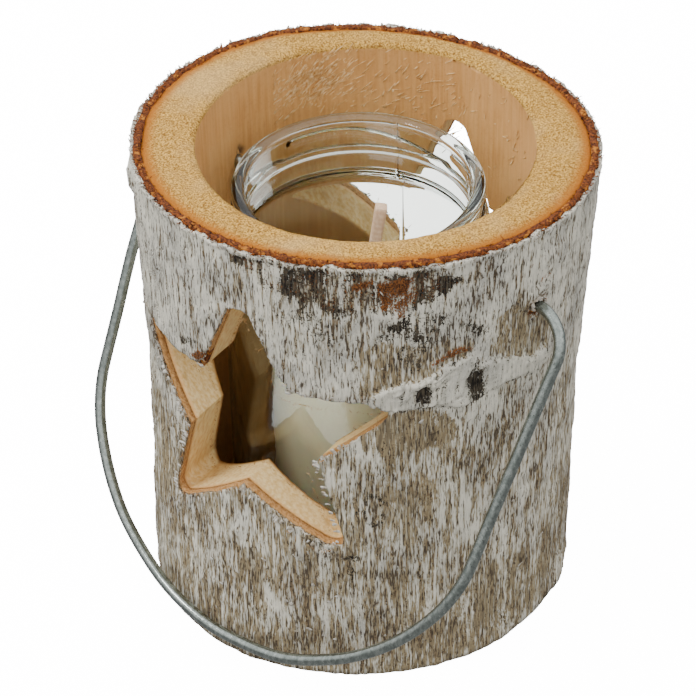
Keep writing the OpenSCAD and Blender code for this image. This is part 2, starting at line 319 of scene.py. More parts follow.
def make_piece(name, points, faces, material, marks=None, smooth=True, outward=True):
    """Puts points and faces into a mesh object at the origin. A face with two equal corners becomes a
    triangle, and marks are numbers that the material reads at each point."""
    same = faces == np.roll(faces, -1, axis=1)
    lost = same.sum(1)
    whole, three = faces[lost == 0], faces[lost == 1][~same[lost == 1]].reshape(-1, 3)
    corners = np.r_[whole.reshape(-1), three.reshape(-1)].astype(np.int32)
    starts = np.r_[np.arange(len(whole)) * 4, len(whole) * 4 + np.arange(len(three)) * 3].astype(np.int32)
    mesh = bpy.data.meshes.new(name)
    mesh.vertices.add(len(points))
    mesh.vertices.foreach_set("co", (points * 0.001).astype(np.float32).reshape(-1))
    mesh.loops.add(len(corners))
    mesh.loops.foreach_set("vertex_index", corners)
    mesh.polygons.add(len(starts))
    mesh.polygons.foreach_set("loop_start", starts)
    mesh.update(calc_edges=True)
    mesh.validate()
    for key, values in (marks or {}).items():
        mesh.attributes.new(key, "FLOAT", "POINT").data.foreach_set("value", values.astype(np.float32))
    if outward:
        b = bmesh.new()
        b.from_mesh(mesh)
        bmesh.ops.recalc_face_normals(b, faces=b.faces)
        b.to_mesh(mesh)
        b.free()
    if smooth:
        mesh.shade_smooth()
    mesh.materials.append(material)
    piece = bpy.data.objects.new(name, mesh)
    bpy.context.scene.collection.objects.link(piece)
    return piece


def drill(piece, radius):
    """Cuts the straight hole for the wire through both walls and keeps the result as the mesh."""
    a = np.linspace(0, 2 * np.pi, 28, endpoint=False)
    x = np.array([-90.0, -30.0, 30.0, 90.0])
    ring = np.stack([0 * a, radius * np.cos(a), HOLE_Z + radius * np.sin(a)], -1)
    rows = ring[None] + np.stack([x, 0 * x, 0 * x], -1)[:, None]
    ends = np.stack([0 * a, 0 * a, 0 * a + HOLE_Z], -1)
    rows = np.concatenate([ends[None] + [-90, 0, 0], rows, ends[None] + [90, 0, 0]])
    p, f = weld([sheet_patch(rows)])
    bit = make_piece(piece.name + "_bit", p, f, piece.data.materials[0], smooth=False)
    cut = piece.modifiers.new("hole", "BOOLEAN")
    cut.operation, cut.object, cut.solver = "DIFFERENCE", bit, "MANIFOLD"
    made = bpy.data.meshes.new_from_object(piece.evaluated_get(bpy.context.evaluated_depsgraph_get()))
    if len(made.polygons) < len(piece.data.polygons) // 2:
        raise RuntimeError("the wire's hole could not be cut in " + piece.name)
    piece.modifiers.clear()
    old = piece.data
    piece.data = made
    made.name = piece.name
    bpy.data.meshes.remove(old)
    bit_mesh = bit.data
    bpy.data.objects.remove(bit)
    bpy.data.meshes.remove(bit_mesh)


# ---------------------------------------------------------------- the bark's marks


def spot(theta, z, at, size, turn=0.0):
    """1 in the middle of an oval spot on the bark, falling smoothly to 0 at its edge.

    at is (degrees, mm), size its half width and half height in mm."""
    dx = (theta - np.radians(at[0]) + np.pi) % (2 * np.pi) - np.pi
    dx, dz = dx * FLAT_R, z - at[1]
    c, s = math.cos(math.radians(turn)), math.sin(math.radians(turn))
    return 1 - steps(np.hypot((dx * c + dz * s) / size[0], (dz * c - dx * s) / size[1]), 0.45, 1.0)


def ribbon(theta, z, degrees, upper, lower, soft=0.6):
    """1 between an upper and a lower edge given at a few angles, 0 outside, with a narrow soft edge."""
    d = np.degrees((theta + np.pi) % (2 * np.pi) - np.pi)
    hi, lo = np.interp(d, degrees, upper), np.interp(d, degrees, lower)
    inside = steps(hi - z, 0, soft) * steps(z - lo, 0, soft)
    return inside * steps(d, degrees[0] - 0.6, degrees[0] + 0.4) * (
        1 - steps(d, degrees[-1] - 2, degrees[-1])
    )


def bark_marks(x, y, z):
    """What the weather did to the bark at each point: how raised, brown, dark, rusty and clean it is.
    Dark also holds a painted shadow line along the raised band's lower edge.
    """
    theta = np.arctan2(y, x)
    wide = grain(x, y, z, (34, 34, 46), 11)
    mid = grain(x, y, z, (9, 9, 16), 21)
    small = grain(x, y, z, (3.2, 3.2, 6.0), 31)
    fine = grain(x, y, z, (1.3, 1.3, 3.4), 41, 2)
    wobble = 2.0 * mid + 0.9 * small
    upright = grain(x, y, z, (3.4, 3.4, 30), 45)
    true_theta, true_z = theta, z
    theta = theta + (4.2 * grain(x, y, z, (11, 11, 15), 51) + 1.5 * small) / FLAT_R
    z = z + 5.0 * grain(x, y, z, (10, 10, 17), 56)
    band = ribbon(true_theta, true_z + wobble * 0.55, [-47, -40, -34, -28, -20, -12, -4, 3, 6],
                  [121.5, 124.5, 126.5, 128.8, 129.6, 125.5, 121.5, 122, 118],
                  [113.5, 112.6, 112.2, 112.4, 112.0, 114.6, 112.6, 114, 116], 0.9)
    stripe = ribbon(
        true_theta,
        true_z + wobble * 0.4,
        [-31, -27, -22, -17],
        [132.0, 134.4, 135.2, 132.5],
        [128.6, 129.6, 130.6, 130],
        1.8,
    )
    ragged = true_theta + (1.1 * small + 0.7 * mid) / FLAT_R
    notch = spot(ragged, true_z + 2.2 * small, (-18.3, 118.0), (4.4, 9.0), 8)
    gap = spot(ragged, true_z + 2.2 * small, (-33, 118), (3.4, 7.5), -14)
    crumbs = band * steps(0.75 * small + 0.55 * fine - 0.3 * mid, 0.42, 0.62)
    # The weathered patch under the rim, and the lichen that hangs from its right end.
    patch = ribbon(
        true_theta,
        true_z + 2.4 * mid,
        [-84, -76, -66, -56, -46, -36, -30, -24, -16],
        [169, 170, 171, 171, 171, 171, 168, 164, 158],
        [161, 156, 153, 150, 149, 151, 153, 157, 158],
        4.0,
    )
    lichen = ribbon(true_theta, true_z + 3.5 * mid, [-45, -40, -35, -29, -22, -17, -13],
                    [148, 152, 155, 152, 148, 143, 138], [146, 142, 137, 133, 131, 133, 136], 5.0)
    dark = (
        1.25 * patch * np.clip(0.95 + 0.9 * upright + 0.9 * mid + 0.5 * small, 0.4, 1.25)
        + 1.45 * lichen * np.clip(0.8 + 1.4 * mid, 0.15, 1.2)
    )
    dark = dark + 0.5 * spot(theta, z + wobble, (-62, 146), (10, 8))
    dark = dark + 0.5 * spot(theta, z + wobble, (-36, 133), (8, 7)) + 1.4 * gap + 0.75 * crumbs
    lens = (
        spot(true_theta, true_z, (-43.1, 142.2), (4, 1.6))
        + spot(true_theta, true_z, (-52.5, 51.5), (4.6, 1.5))
    )
    eye = np.hypot((true_theta + np.radians(46.3)) * FLAT_R / 4.6, (true_z + 0.6 * small - 72.8) / 8.0)
    ring = np.exp(-(((eye - 0.75) / 0.16) ** 2))
    dark = (
        dark
        + 0.9 * lens
        + 0.95 * ring
        + 0.75 * spot(true_theta, true_z + small, (-52.9, 44.5), (1.8, 5.0))
    )
    dark = (
        dark
        + 0.8 * spot(theta, z + wobble, (70, 120), (20, 14))
        + 0.8 * spot(theta, z + wobble, (150, 60), (16, 20))
    )
    dark = dark + 0.8 * spot(theta, z + wobble, (-160, 110), (10, 8)) + 1.5 * notch
    dark = (
        dark
        + 0.7 * spot(true_theta, true_z + small, (-102, 123.5), (8, 1.8), 24)
        + 0.8 * spot(true_theta, true_z + small, (-104, 67.3), (8, 1.8))
        + 0.7 * spot(true_theta, true_z + small, (-62, 56.5), (9, 1.8), -22)
    )
    # A painted shadow: a thin dark line along the raised band's lower edge, added to dark as if the band
    # shaded the bark under it.
    under = ribbon(
        true_theta,
        true_z + wobble * 0.55,
        [-47, -40, -34, -28, -20, -12, -4, 3],
        [113.9, 113.0, 112.6, 112.8, 112.4, 115.0, 113.0, 114.4],
        [112.4, 111.4, 111.0, 111.2, 110.8, 113.4, 111.6, 113],
        0.5,
    )
    dark = dark + 0.6 * under + 0.5 * spot(true_theta, true_z + small, (-33.5, 119), (1.8, 5.5), -20)
    mottle = np.clip(0.6 + 1.6 * mid + 0.8 * small, 0, 1.2)
    rust = 0.3 * patch + 0.8 * spot(theta, z + 2.5 * wobble, (-40, 156.5), (8, 9)) * mottle
    rust = rust + 0.7 * spot(theta, z + small, (-50, 163), (6, 3))
    rust = (
        rust
        + 0.8 * spot(theta, z + small, (-45, 150), (2.4, 2.0))
        + 0.9 * spot(true_theta, true_z + small, (-98, 120.5), (6.5, 2.0), 28)
    )
    rust = (
        rust
        + 0.75 * stripe
        + 0.5 * spot(theta, z, (-30, 125), (1.5, 1.5))
        + 0.7 * spot(theta, z + small, (2, 147.5), (5.5, 2.2), 6)
    )
    brown = (
        0.85 * spot(theta, z + wobble, (-34, 101), (18, 13))
        + 0.9 * spot(theta, z + wobble, (-5, 134), (9.5, 20))
    )
    brown = (
        brown
        + 0.85 * spot(theta, z + 2 * wobble, (2, 24), (30, 22))
        + 0.5 * spot(theta, z + wobble, (-62, 47), (14, 13))
    )
    brown = (
        brown
        + 0.6 * spot(theta, z + wobble, (-35, 70), (14, 22))
        + 0.5 * spot(theta, z + wobble, (-84, 40), (16, 12))
    )
    brown = (
        brown
        + 0.9 * ribbon(
            true_theta,
            true_z + 0.5 * wobble,
            [-50, -44, -34, -27, -22],
            [112.5, 112.0, 111.6, 111.0, 104],
            [98, 95, 94, 96, 98],
            1.2,
        )
    )
    brown = (
        brown
        + 0.55 * spot(theta, z + wobble, (-90, 68), (10, 5))
        + 0.5 * spot(theta, z + wobble, (-118, 60), (9, 40))
    )
    brown = (
        brown
        + 0.7 * spot(theta, z + wobble, (100, 50), (30, 30))
        + 0.6 * spot(theta, z + wobble, (170, 140), (20, 26))
    )
    brown = brown * np.clip(0.75 + 1.1 * upright, 0, 1.5)
    brown = brown + 0.7 * (1 - steps(z, 75, 124)) - 0.1 + 0.25 * wide + 0.35 * upright
    brown = (
        brown
        + 1.0 * ribbon(
            true_theta,
            true_z + wobble,
            [-50, -44, -34, -26, -18],
            [140, 142, 140, 138, 134],
            [118, 120, 124, 127, 128],
            3.0,
        )
        + 0.25 * steps(-z, -30, -4)
    )
    brown = (
        brown
        + 1.0 * ribbon(
            true_theta,
            true_z + wobble,
            [-13.6, -9, -4, 0, 4, 6],
            [143, 146, 145, 142, 136, 130],
            [126, 124, 122, 121, 120, 121],
            1.5,
        )
    )
    brown = brown + 0.6 * patch - 0.35 * spot(true_theta, true_z, (-118, 140), (40, 60))
    theta, z = true_theta, true_z
    left_edge = steps(np.degrees(theta), -14.2, -13.4) + steps(-np.degrees(theta), 15.5, 18.0)
    brown = brown * np.where((z > 112) & (z < 146) & (np.abs(np.degrees(theta) + 8) < 10), left_edge, 1.0)
    clean = np.clip(band - notch - gap - 0.7 * crumbs, 0, 1)
    brown, dark = brown * (1 - 0.85 * clean), dark * (1 - 0.4 * clean)
    plates = steps(mid + 0.35 * fine, 0.05, 0.3)
    rise = 0.34 * wide + 0.22 * mid + 0.26 * plates + 0.16 * small + 0.14 * fine
    rise = (
        rise
        + 1.5 * clean
        + clean * (0.55 * small + 0.35 * fine)
        - 0.7 * notch
        - 0.35 * np.clip(dark, 0, 1) * (0.6 + small)
    )
    rise = rise - 0.5 * lens + 0.4 * ring + 0.35 * stripe - 0.25 * np.clip(brown, 0, 1)
    rise = (
        rise
        + 1.5 * spot(theta, z, (-131, 164), (6, 7))
        + 0.9 * spot(theta, z, (4, 156), (9, 6))
        + 0.8 * spot(theta, z, (1, 146.3), (5, 2.2))
    )
    return rise, brown, dark, rust, clean


def wire_pit(theta, z, size):
    """The torn pit where the wire enters the bark on either side: 1 in its middle, 0 outside it."""
    a = (theta + np.pi / 2) % np.pi - np.pi / 2
    return 1 - steps(np.hypot(a * FLAT_R, z - HOLE_Z), 0.35 * size, size)


def bark_layer(grid, outer_depth, inner_depth, low, high, rings, inner_rings, peel):
    """One layer of bark as a closed skin: an outer and an inner wall on both halves, joined round the
    star, along the top and along the base."""
    patches = []
    for side in (-1, 1):
        out = half_wall(
            grid, side, lambda a, z: log_radius(a, z) - outer_depth, low, high, rings, peel[side]
        )
        inn = half_wall(
            grid, side, lambda a, z: log_radius(a, z) - inner_depth, low, high, inner_rings, peel[side]
        )
        patches += [sheet_patch(out), sheet_patch(inn), ruled_patch(out[0], inn[0], 1 if rings > 20 else 2)]
        patches += [ruled_patch(out[-1], inn[-1], 1, grid.top), ruled_patch(out[-1], inn[-1], 1, grid.base)]
    return weld(patches)


def log_skin(grid):
    """The wood as a closed skin: the wall under the bark, the bore, the star's cut faces between them,
    the end grain round the mouth, the floor and the base."""
    under = lambda a, z: log_radius(a, z) - OUTER_T - INNER_T - 3 * PEEL_GAP
    patches = []
    for side in (-1, 1):
        out = half_wall(grid, side, under, 0.0, LOG_H, 6)
        bore = half_wall(grid, side, bore_radius, FLOOR_T, LOG_H, 34)
        patches += [sheet_patch(out), sheet_patch(bore), ruled_patch(out[0], bore[0], 9)]
        patches += [ruled_patch(out[-1], bore[-1], 16, grid.top)]
        base, floor = 0 * out[-1], 0 * bore[-1] + [1.6, 2.0, FLOOR_T]
        patches += [ruled_patch(out[-1], base, 8, grid.base), ruled_patch(bore[-1], floor, 10, grid.base)]
    return weld(patches)


# ---------------------------------------------------------------- materials


# The sockets of a Mix node that mixes two colours.
FACTOR, BELOW, ABOVE, MIXED = 0, 6, 7, 2


def add(tree, kind, inputs=None, out=0, **settings):
    """Adds a node, gives it its settings, links or sets each of its inputs, and returns one output."""
    node = tree.nodes.new("ShaderNode" + kind)
    for key, value in settings.items():
        setattr(node, key, value)
    for key, value in (inputs or {}).items():
        if isinstance(value, bpy.types.NodeSocket):
            tree.links.new(value, node.inputs[key])
        else:
            node.inputs[key].default_value = value
    return node.outputs[out] if node.outputs else node


def blank(name):
    """A new material: its node tree, its own coordinates, and a Principled shader on its output."""
    material = bpy.data.materials.new(name)
    material.use_nodes = True
    tree = material.node_tree
    tree.nodes.clear()
    place = add(tree, "TexCoord", out="Object")
    surface = add(tree, "BsdfPrincipled")
    add(tree, "OutputMaterial", {"Surface": surface})
    return material, tree, place, surface.node


def bark_material(look):
    """White birch bark: chalky papery skin, so rough and with almost no gloss, scored by fine upright
    cracks that show the darker layer under it; brown where the white is rubbed off, near black
    with lichen where it has weathered, and dark in a painted shadow line under the raised band."""
    material, tree, place, shader = blank("white_birch_bark")
    # Cracks about 0.5 mm wide and 3 mm long, and longer and wider ones between them.
    noises = []
    for scale, location, detail, roughness in (
        ((1900, 1900, 240), (0, 0, 0), 2.0, 0.6),
        ((1000, 1000, 95), (3, 1, 2), 3.0, 0.62),
        ((560, 560, 40), (9, 4, 0), 4.0, 0.65),
        ((1250, 1250, 60), (2, 9, 4), 2.0, 0.6),
        ((75, 75, 50), (1, 8, 3), 3.0, 0.6),
        ((2100, 2100, 1500), (5, 5, 5), 2.0, 0.7),
    ):
        spread = add(tree, "Mapping", {"Vector": place, "Scale": scale, "Location": location})
        settings = {"Vector": spread, "Scale": 1.0, "Detail": detail, "Roughness": roughness}
        noises.append(add(tree, "TexNoise", settings))
    cracks, wider, streaks, pale_lines, cloud, speck = noises
    # Each noise is weighed about its middle value of 0.5, so the last term takes half the weights off.
    brown_part = 0.0
    for part, share in (
        (add(tree, "Attribute", out="Fac", attribute_name="brown"), 0.42),
        (add(tree, "Attribute", out="Fac", attribute_name="clean"), -0.35),
        (streaks, 1.6),
        (cracks, 1.5),
        (wider, 1.7),
        (cloud, 0.6),
        (1.0, -2.66),
    ):
        brown_part = add(tree, "Math", {0: part, 1: share, 2: brown_part}, operation="MULTIPLY_ADD")
    brown_part = add(
        tree,
        "MapRange",
        {"Value": brown_part, "From Min": 0.0, "From Max": 0.46, "To Max": 0.92},
        interpolation_type="SMOOTHSTEP",
    )
    # Lichen and old scars break into a crackle about 2 mm across.
    drift = add(tree, "TexNoise", {"Vector": place, "Scale": 500.0, "Detail": 3.0}, out="Color")
    bent = add(
        tree, "VectorMath", {0: drift, 1: (0.0035, 0.0035, 0.0035), 2: place}, operation="MULTIPLY_ADD"
    )
    crackle = add(
        tree, "TexVoronoi", {"Vector": bent, "Scale": 420.0}, out="Distance", feature="DISTANCE_TO_EDGE"
    )
    lines = add(
        tree,
        "MapRange",
        {"Value": crackle, "From Min": 0.02, "From Max": 0.16, "To Min": 1.0, "To Max": 0.0},
        interpolation_type="SMOOTHSTEP",
    )
    # The dark mark is lichen and weathering, and also the painted shadow line under the raised band.
    dark_part = 0.0
    for part, share in (
        (add(tree, "Attribute", out="Fac", attribute_name="dark"), 0.66),
        (lines, 0.3),
        (speck, 1.6),
        (wider, 2.1),
        (1.0, -2.14),
    ):
        dark_part = add(tree, "Math", {0: part, 1: share, 2: dark_part}, operation="MULTIPLY_ADD")
    dark_part = add(
        tree,
        "MapRange",
        {"Value": dark_part, "From Min": 0.18, "From Max": 0.48},
        interpolation_type="SMOOTHSTEP",
    )
    rust_part = 0.0
    for part, share in (
        (add(tree, "Attribute", out="Fac", attribute_name="rust"), 0.8),
        (speck, 1.2),
        (wider, 0.8),
        (1.0, -1.0),
    ):
        rust_part = add(tree, "Math", {0: part, 1: share, 2: rust_part}, operation="MULTIPLY_ADD")
    rust_part = add(
        tree,
        "MapRange",
        {"Value": rust_part, "From Min": 0.3, "From Max": 0.62},
        interpolation_type="SMOOTHSTEP",
    )
    white = srgb(look.white)
    for value, low, high, most, paint in (
        (cloud, 0.35, 0.7, 1.0, look.grey),
        (speck, 0.45, 0.75, 0.6, "EFECE2"),
        (wider, 0.42, 0.66, 0.7, "B5B3A6"),
    ):
        settings = {"Value": value, "From Min": low, "From Max": high, "To Max": most}
        share = add(tree, "MapRange", settings, interpolation_type="SMOOTHSTEP")
        settings = {FACTOR: share, BELOW: white, ABOVE: srgb(paint)}
        white = add(tree, "Mix", settings, out=MIXED, data_type="RGBA")
    tan = srgb("645437")
    for value, low, high, most, paint in (
        (wider, 0.38, 0.62, 1.0, "A18F6C"),
        (pale_lines, 0.54, 0.66, 0.65, "C9C2AC"),
    ):
        settings = {"Value": value, "From Min": low, "From Max": high, "To Max": most}
        share = add(tree, "MapRange", settings, interpolation_type="SMOOTHSTEP")
        settings = {FACTOR: share, BELOW: tan, ABOVE: srgb(paint)}
        tan = add(tree, "Mix", settings, out=MIXED, data_type="RGBA")
    colour = add(tree, "Mix", {FACTOR: brown_part, BELOW: white, ABOVE: tan}, out=MIXED, data_type="RGBA")
    fine_cracks = 0.0
    for part, share in (
        (cracks, 1.0),
        (streaks, 0.3),
        (cloud, 0.3),
        (add(tree, "Attribute", out="Fac", attribute_name="clean"), -0.1),
    ):
        fine_cracks = add(tree, "Math", {0: part, 1: share, 2: fine_cracks}, operation="MULTIPLY_ADD")
    fine_cracks = add(
        tree,
        "MapRange",
        {"Value": fine_cracks, "From Min": 0.85, "From Max": 0.94, "To Max": 0.9},
        interpolation_type="SMOOTHSTEP",
    )
    wide_cracks = 0.0
    for part, share in (
        (wider, 1.0), (cloud, 0.25), (add(tree, "Attribute", out="Fac", attribute_name="clean"), -0.12)
    ):
        wide_cracks = add(tree, "Math", {0: part, 1: share, 2: wide_cracks}, operation="MULTIPLY_ADD")
    wide_cracks = add(
        tree,
        "MapRange",
        {"Value": wide_cracks, "From Min": 0.7, "From Max": 0.77, "To Max": 0.8},
        interpolation_type="SMOOTHSTEP",
    )
    colour = add(
        tree,
        "Mix",
        {FACTOR: wide_cracks, BELOW: colour, ABOVE: srgb("6E5A42")},
        out=MIXED,
        data_type="RGBA",
    )
    colour = add(
        tree,
        "Mix",
        {FACTOR: fine_cracks, BELOW: colour, ABOVE: srgb("4C4238")},
        out=MIXED,
        data_type="RGBA",
    )
    dark_tone = add(
        tree,
        "Mix",
        {
            FACTOR: add(
                tree,
                "MapRange",
                {"Value": cracks, "From Min": 0.4, "From Max": 0.65},
                interpolation_type="SMOOTHSTEP",
            ),
            BELOW: srgb("1C1814"),
            ABOVE: srgb("5C5446"),
        },
        out=MIXED,
        data_type="RGBA",
    )
    colour = add(
        tree, "Mix", {FACTOR: dark_part, BELOW: colour, ABOVE: dark_tone}, out=MIXED, data_type="RGBA"
    )
    rust_tone = add(
        tree,
        "Mix",
        {
            FACTOR: add(
                tree,
                "MapRange",
                {"Value": speck, "From Min": 0.42, "From Max": 0.6},
                interpolation_type="SMOOTHSTEP",
            ),
            BELOW: srgb("3C2010"),
            ABOVE: srgb("8E5A30"),
        },
        out=MIXED,
        data_type="RGBA",
    )
    colour = add(
        tree, "Mix", {FACTOR: rust_part, BELOW: colour, ABOVE: rust_tone}, out=MIXED, data_type="RGBA"
    )
    rough = add(
        tree,
        "MapRange",
        {"Value": cracks, "From Min": 0.3, "From Max": 0.7, "To Min": 0.72, "To Max": 0.92},
        interpolation_type="SMOOTHSTEP",
    )
    height = 0.0
    for part, share in (
        (cracks, -0.6), (wider, -0.8), (speck, 0.25), (fine_cracks, -0.5), (dark_part, -0.4)
    ):
        height = add(tree, "Math", {0: part, 1: share, 2: height}, operation="MULTIPLY_ADD")
    bump = add(tree, "Bump", {"Height": height, "Strength": 0.8, "Distance": 0.0005})
    for key, value in {"Base Color": colour, "Roughness": rough, "Normal": bump}.items():
        tree.links.new(value, shader.inputs[key])
    shader.inputs["Specular IOR Level"].default_value = 0.25
    return material


def inner_bark_material(look):
    """Inner bark: soft cork-like fibre, orange where it was cut cleanly and dark red-brown where the
    saw tore it and the sap dried."""
    material, tree, place, shader = blank("inner_birch_bark")
    noises = []
    for scale, location, detail, roughness in (
        ((1400, 1400, 300), (0, 0, 0), 3.0, 0.65),
        ((420, 420, 380), (2, 2, 2), 3.0, 0.6),
    ):
        spread = add(tree, "Mapping", {"Vector": place, "Scale": scale, "Location": location})
        settings = {"Vector": spread, "Scale": 1.0, "Detail": detail, "Roughness": roughness}
        noises.append(add(tree, "TexNoise", settings))
    fibre, lumps = noises
    mixture = 0.0
    for part, share in (
        (add(tree, "Attribute", out="Fac", attribute_name="torn"), 1.0), (lumps, 0.9), (1.0, -0.45)
    ):
        mixture = add(tree, "Math", {0: part, 1: share, 2: mixture}, operation="MULTIPLY_ADD")
    torn = add(
        tree,
        "MapRange",
        {"Value": mixture, "From Min": 0.2, "From Max": 0.8},
        interpolation_type="SMOOTHSTEP",
    )
    cut = add(
        tree,
        "Mix",
        {
            FACTOR: add(
                tree,
                "MapRange",
                {"Value": fibre, "From Min": 0.35, "From Max": 0.65},
                interpolation_type="SMOOTHSTEP",
            ),
            BELOW: srgb("A07040"),
            ABOVE: srgb("CA9C66"),
        },
        out=MIXED,
        data_type="RGBA",
    )
    rag = srgb("34170B")
    for value, low, high, most, paint in (
        (fibre, 0.35, 0.65, 1.0, "86481F"),
        (lumps, 0.54, 0.64, 1.0, "B4722C"),
    ):
        settings = {"Value": value, "From Min": low, "From Max": high, "To Max": most}
        share = add(tree, "MapRange", settings, interpolation_type="SMOOTHSTEP")
        settings = {FACTOR: share, BELOW: rag, ABOVE: srgb(paint)}
        rag = add(tree, "Mix", settings, out=MIXED, data_type="RGBA")
    colour = add(tree, "Mix", {FACTOR: torn, BELOW: cut, ABOVE: rag}, out=MIXED, data_type="RGBA")
    bump = add(tree, "Bump", {"Height": fibre, "Strength": 0.8, "Distance": 0.0004})
    rough = add(
        tree,
        "MapRange",
        {"Value": lumps, "From Min": 0.3, "From Max": 0.7, "To Min": 0.7, "To Max": 0.9},
        interpolation_type="SMOOTHSTEP",
    )
    for key, value in {"Base Color": colour, "Roughness": rough, "Normal": bump}.items():
        tree.links.new(value, shader.inputs[key])
    shader.inputs["Specular IOR Level"].default_value = 0.25
    return material


def wood_material(look):
    """Bare birch: pale and close grained. The sawn end is a mat of cut fibre ends, so it is granular
    and takes no shine, and is stained orange next to the bark; the bored and cut walls are smoother,
    with fine upright fibres that give them a faint sheen."""
    material, tree, place, shader = blank("bare_birch")
    noises = []
    for scale, location, detail, roughness in (
        ((1700, 1700, 1700), (0, 0, 0), 3.0, 0.8),
        ((950, 950, 950), (4, 1, 6), 2.0, 0.75),
        ((900, 900, 42), (0, 0, 0), 3.0, 0.6),
        ((38, 38, 26), (6, 2, 3), 3.0, 0.55),
        ((210, 210, 16), (1, 7, 3), 3.0, 0.6),
    ):
        spread = add(tree, "Mapping", {"Vector": place, "Scale": scale, "Location": location})
        settings = {"Vector": spread, "Scale": 1.0, "Detail": detail, "Roughness": roughness}
        noises.append(add(tree, "TexNoise", settings))
    grit, pores, fibre, cloud, streak = noises
    end = srgb(look.grain_dark)
    for value, low, high, most, paint in (
        (grit, 0.38, 0.62, 1.0, look.grain_light),
        (pores, 0.56, 0.66, 0.7, "7C5222"),
        (cloud, 0.45, 0.7, 0.4, "D9B880"),
    ):
        settings = {"Value": value, "From Min": low, "From Max": high, "To Max": most}
        share = add(tree, "MapRange", settings, interpolation_type="SMOOTHSTEP")
        settings = {FACTOR: share, BELOW: end, ABOVE: srgb(paint)}
        end = add(tree, "Mix", settings, out=MIXED, data_type="RGBA")
    mixture = 0.0
    for part, share in (
        (add(tree, "Attribute", out="Fac", attribute_name="stain"), 1.0),
        (grit, 0.5),
        (pores, 0.5),
        (1.0, -0.5),
    ):
        mixture = add(tree, "Math", {0: part, 1: share, 2: mixture}, operation="MULTIPLY_ADD")
    stain = add(
        tree,
        "MapRange",
        {"Value": mixture, "From Min": 0.05, "From Max": 1.0},
        interpolation_type="SMOOTHSTEP",
    )
    end = add(tree, "Mix", {FACTOR: stain, BELOW: end, ABOVE: srgb("B0681A")}, out=MIXED, data_type="RGBA")
    wall = srgb(look.wall_dark)
    for value, low, high, most, paint in (
        (fibre, 0.25, 0.75, 1.0, look.wall_light),
        (pores, 0.5, 0.7, 0.35, "B27C48"),
        (streak, 0.54, 0.72, 0.18, "A06E38"),
        (cloud, 0.42, 0.66, 0.5, "DDAD70"),
    ):
        settings = {"Value": value, "From Min": low, "From Max": high, "To Max": most}
        share = add(tree, "MapRange", settings, interpolation_type="SMOOTHSTEP")
        settings = {FACTOR: share, BELOW: wall, ABOVE: srgb(paint)}
        wall = add(tree, "Mix", settings, out=MIXED, data_type="RGBA")
    cut = srgb("E4BC7A")
    for value, low, high, most, paint in (
        (fibre, 0.3, 0.7, 1.0, "FBE0A6"),
        (streak, 0.55, 0.7, 0.4, "BD8E50"),
    ):
        settings = {"Value": value, "From Min": low, "From Max": high, "To Max": most}
        share = add(tree, "MapRange", settings, interpolation_type="SMOOTHSTEP")
        settings = {FACTOR: share, BELOW: cut, ABOVE: srgb(paint)}
        cut = add(tree, "Mix", settings, out=MIXED, data_type="RGBA")
    # Painted shade: the bored wall turns a darker orange further down the bore, where less light reaches.
    wall = add(
        tree,
        "Mix",
        {
            FACTOR: add(tree, "Attribute", out="Fac", attribute_name="bore_depth_shade"),
            BELOW: wall,
            ABOVE: srgb("B06E26"),
        },
        out=MIXED,
        data_type="RGBA",
    )
    wall = add(
        tree,
        "Mix",
        {FACTOR: add(tree, "Attribute", out="Fac", attribute_name="cut"), BELOW: wall, ABOVE: cut},
        out=MIXED,
        data_type="RGBA",
    )
    colour = add(
        tree,
        "Mix",
        {FACTOR: add(tree, "Attribute", out="Fac", attribute_name="end"), BELOW: wall, ABOVE: end},
        out=MIXED,
        data_type="RGBA",
    )
    # Dark torn wood and painted shade in the pit beside the wire's left exit on the bored wall.
    colour = add(
        tree,
        "Mix",
        {
            FACTOR: add(tree, "Attribute", out="Fac", attribute_name="torn_scar_and_shade"),
            BELOW: colour,
            ABOVE: srgb("4A2D16"),
        },
        out=MIXED,
        data_type="RGBA",
    )
    height = 0.0
    for part, share in ((grit, 0.9), (pores, 0.5), (fibre, 0.35), (streak, 0.2)):
        height = add(tree, "Math", {0: part, 1: share, 2: height}, operation="MULTIPLY_ADD")
    soft = 0.0
    for part, share in ((add(tree, "Attribute", out="Fac", attribute_name="end"), 0.8), (1.0, 0.25)):
        soft = add(tree, "Math", {0: part, 1: share, 2: soft}, operation="MULTIPLY_ADD")
    bump = add(tree, "Bump", {"Height": height, "Strength": soft, "Distance": 0.0005})
    rough = add(
        tree,
        "MapRange",
        {
            "Value": add(tree, "Attribute", out="Fac", attribute_name="end"),
            "From Min": 0.0,
            "From Max": 1.0,
            "To Min": 0.62,
            "To Max": 0.9,
        },
        interpolation_type="SMOOTHSTEP",
    )
    for key, value in {"Base Color": colour, "Roughness": rough, "Normal": bump}.items():
        tree.links.new(value, shader.inputs[key])
    shader.inputs["Specular IOR Level"].default_value = 0.3
    return material


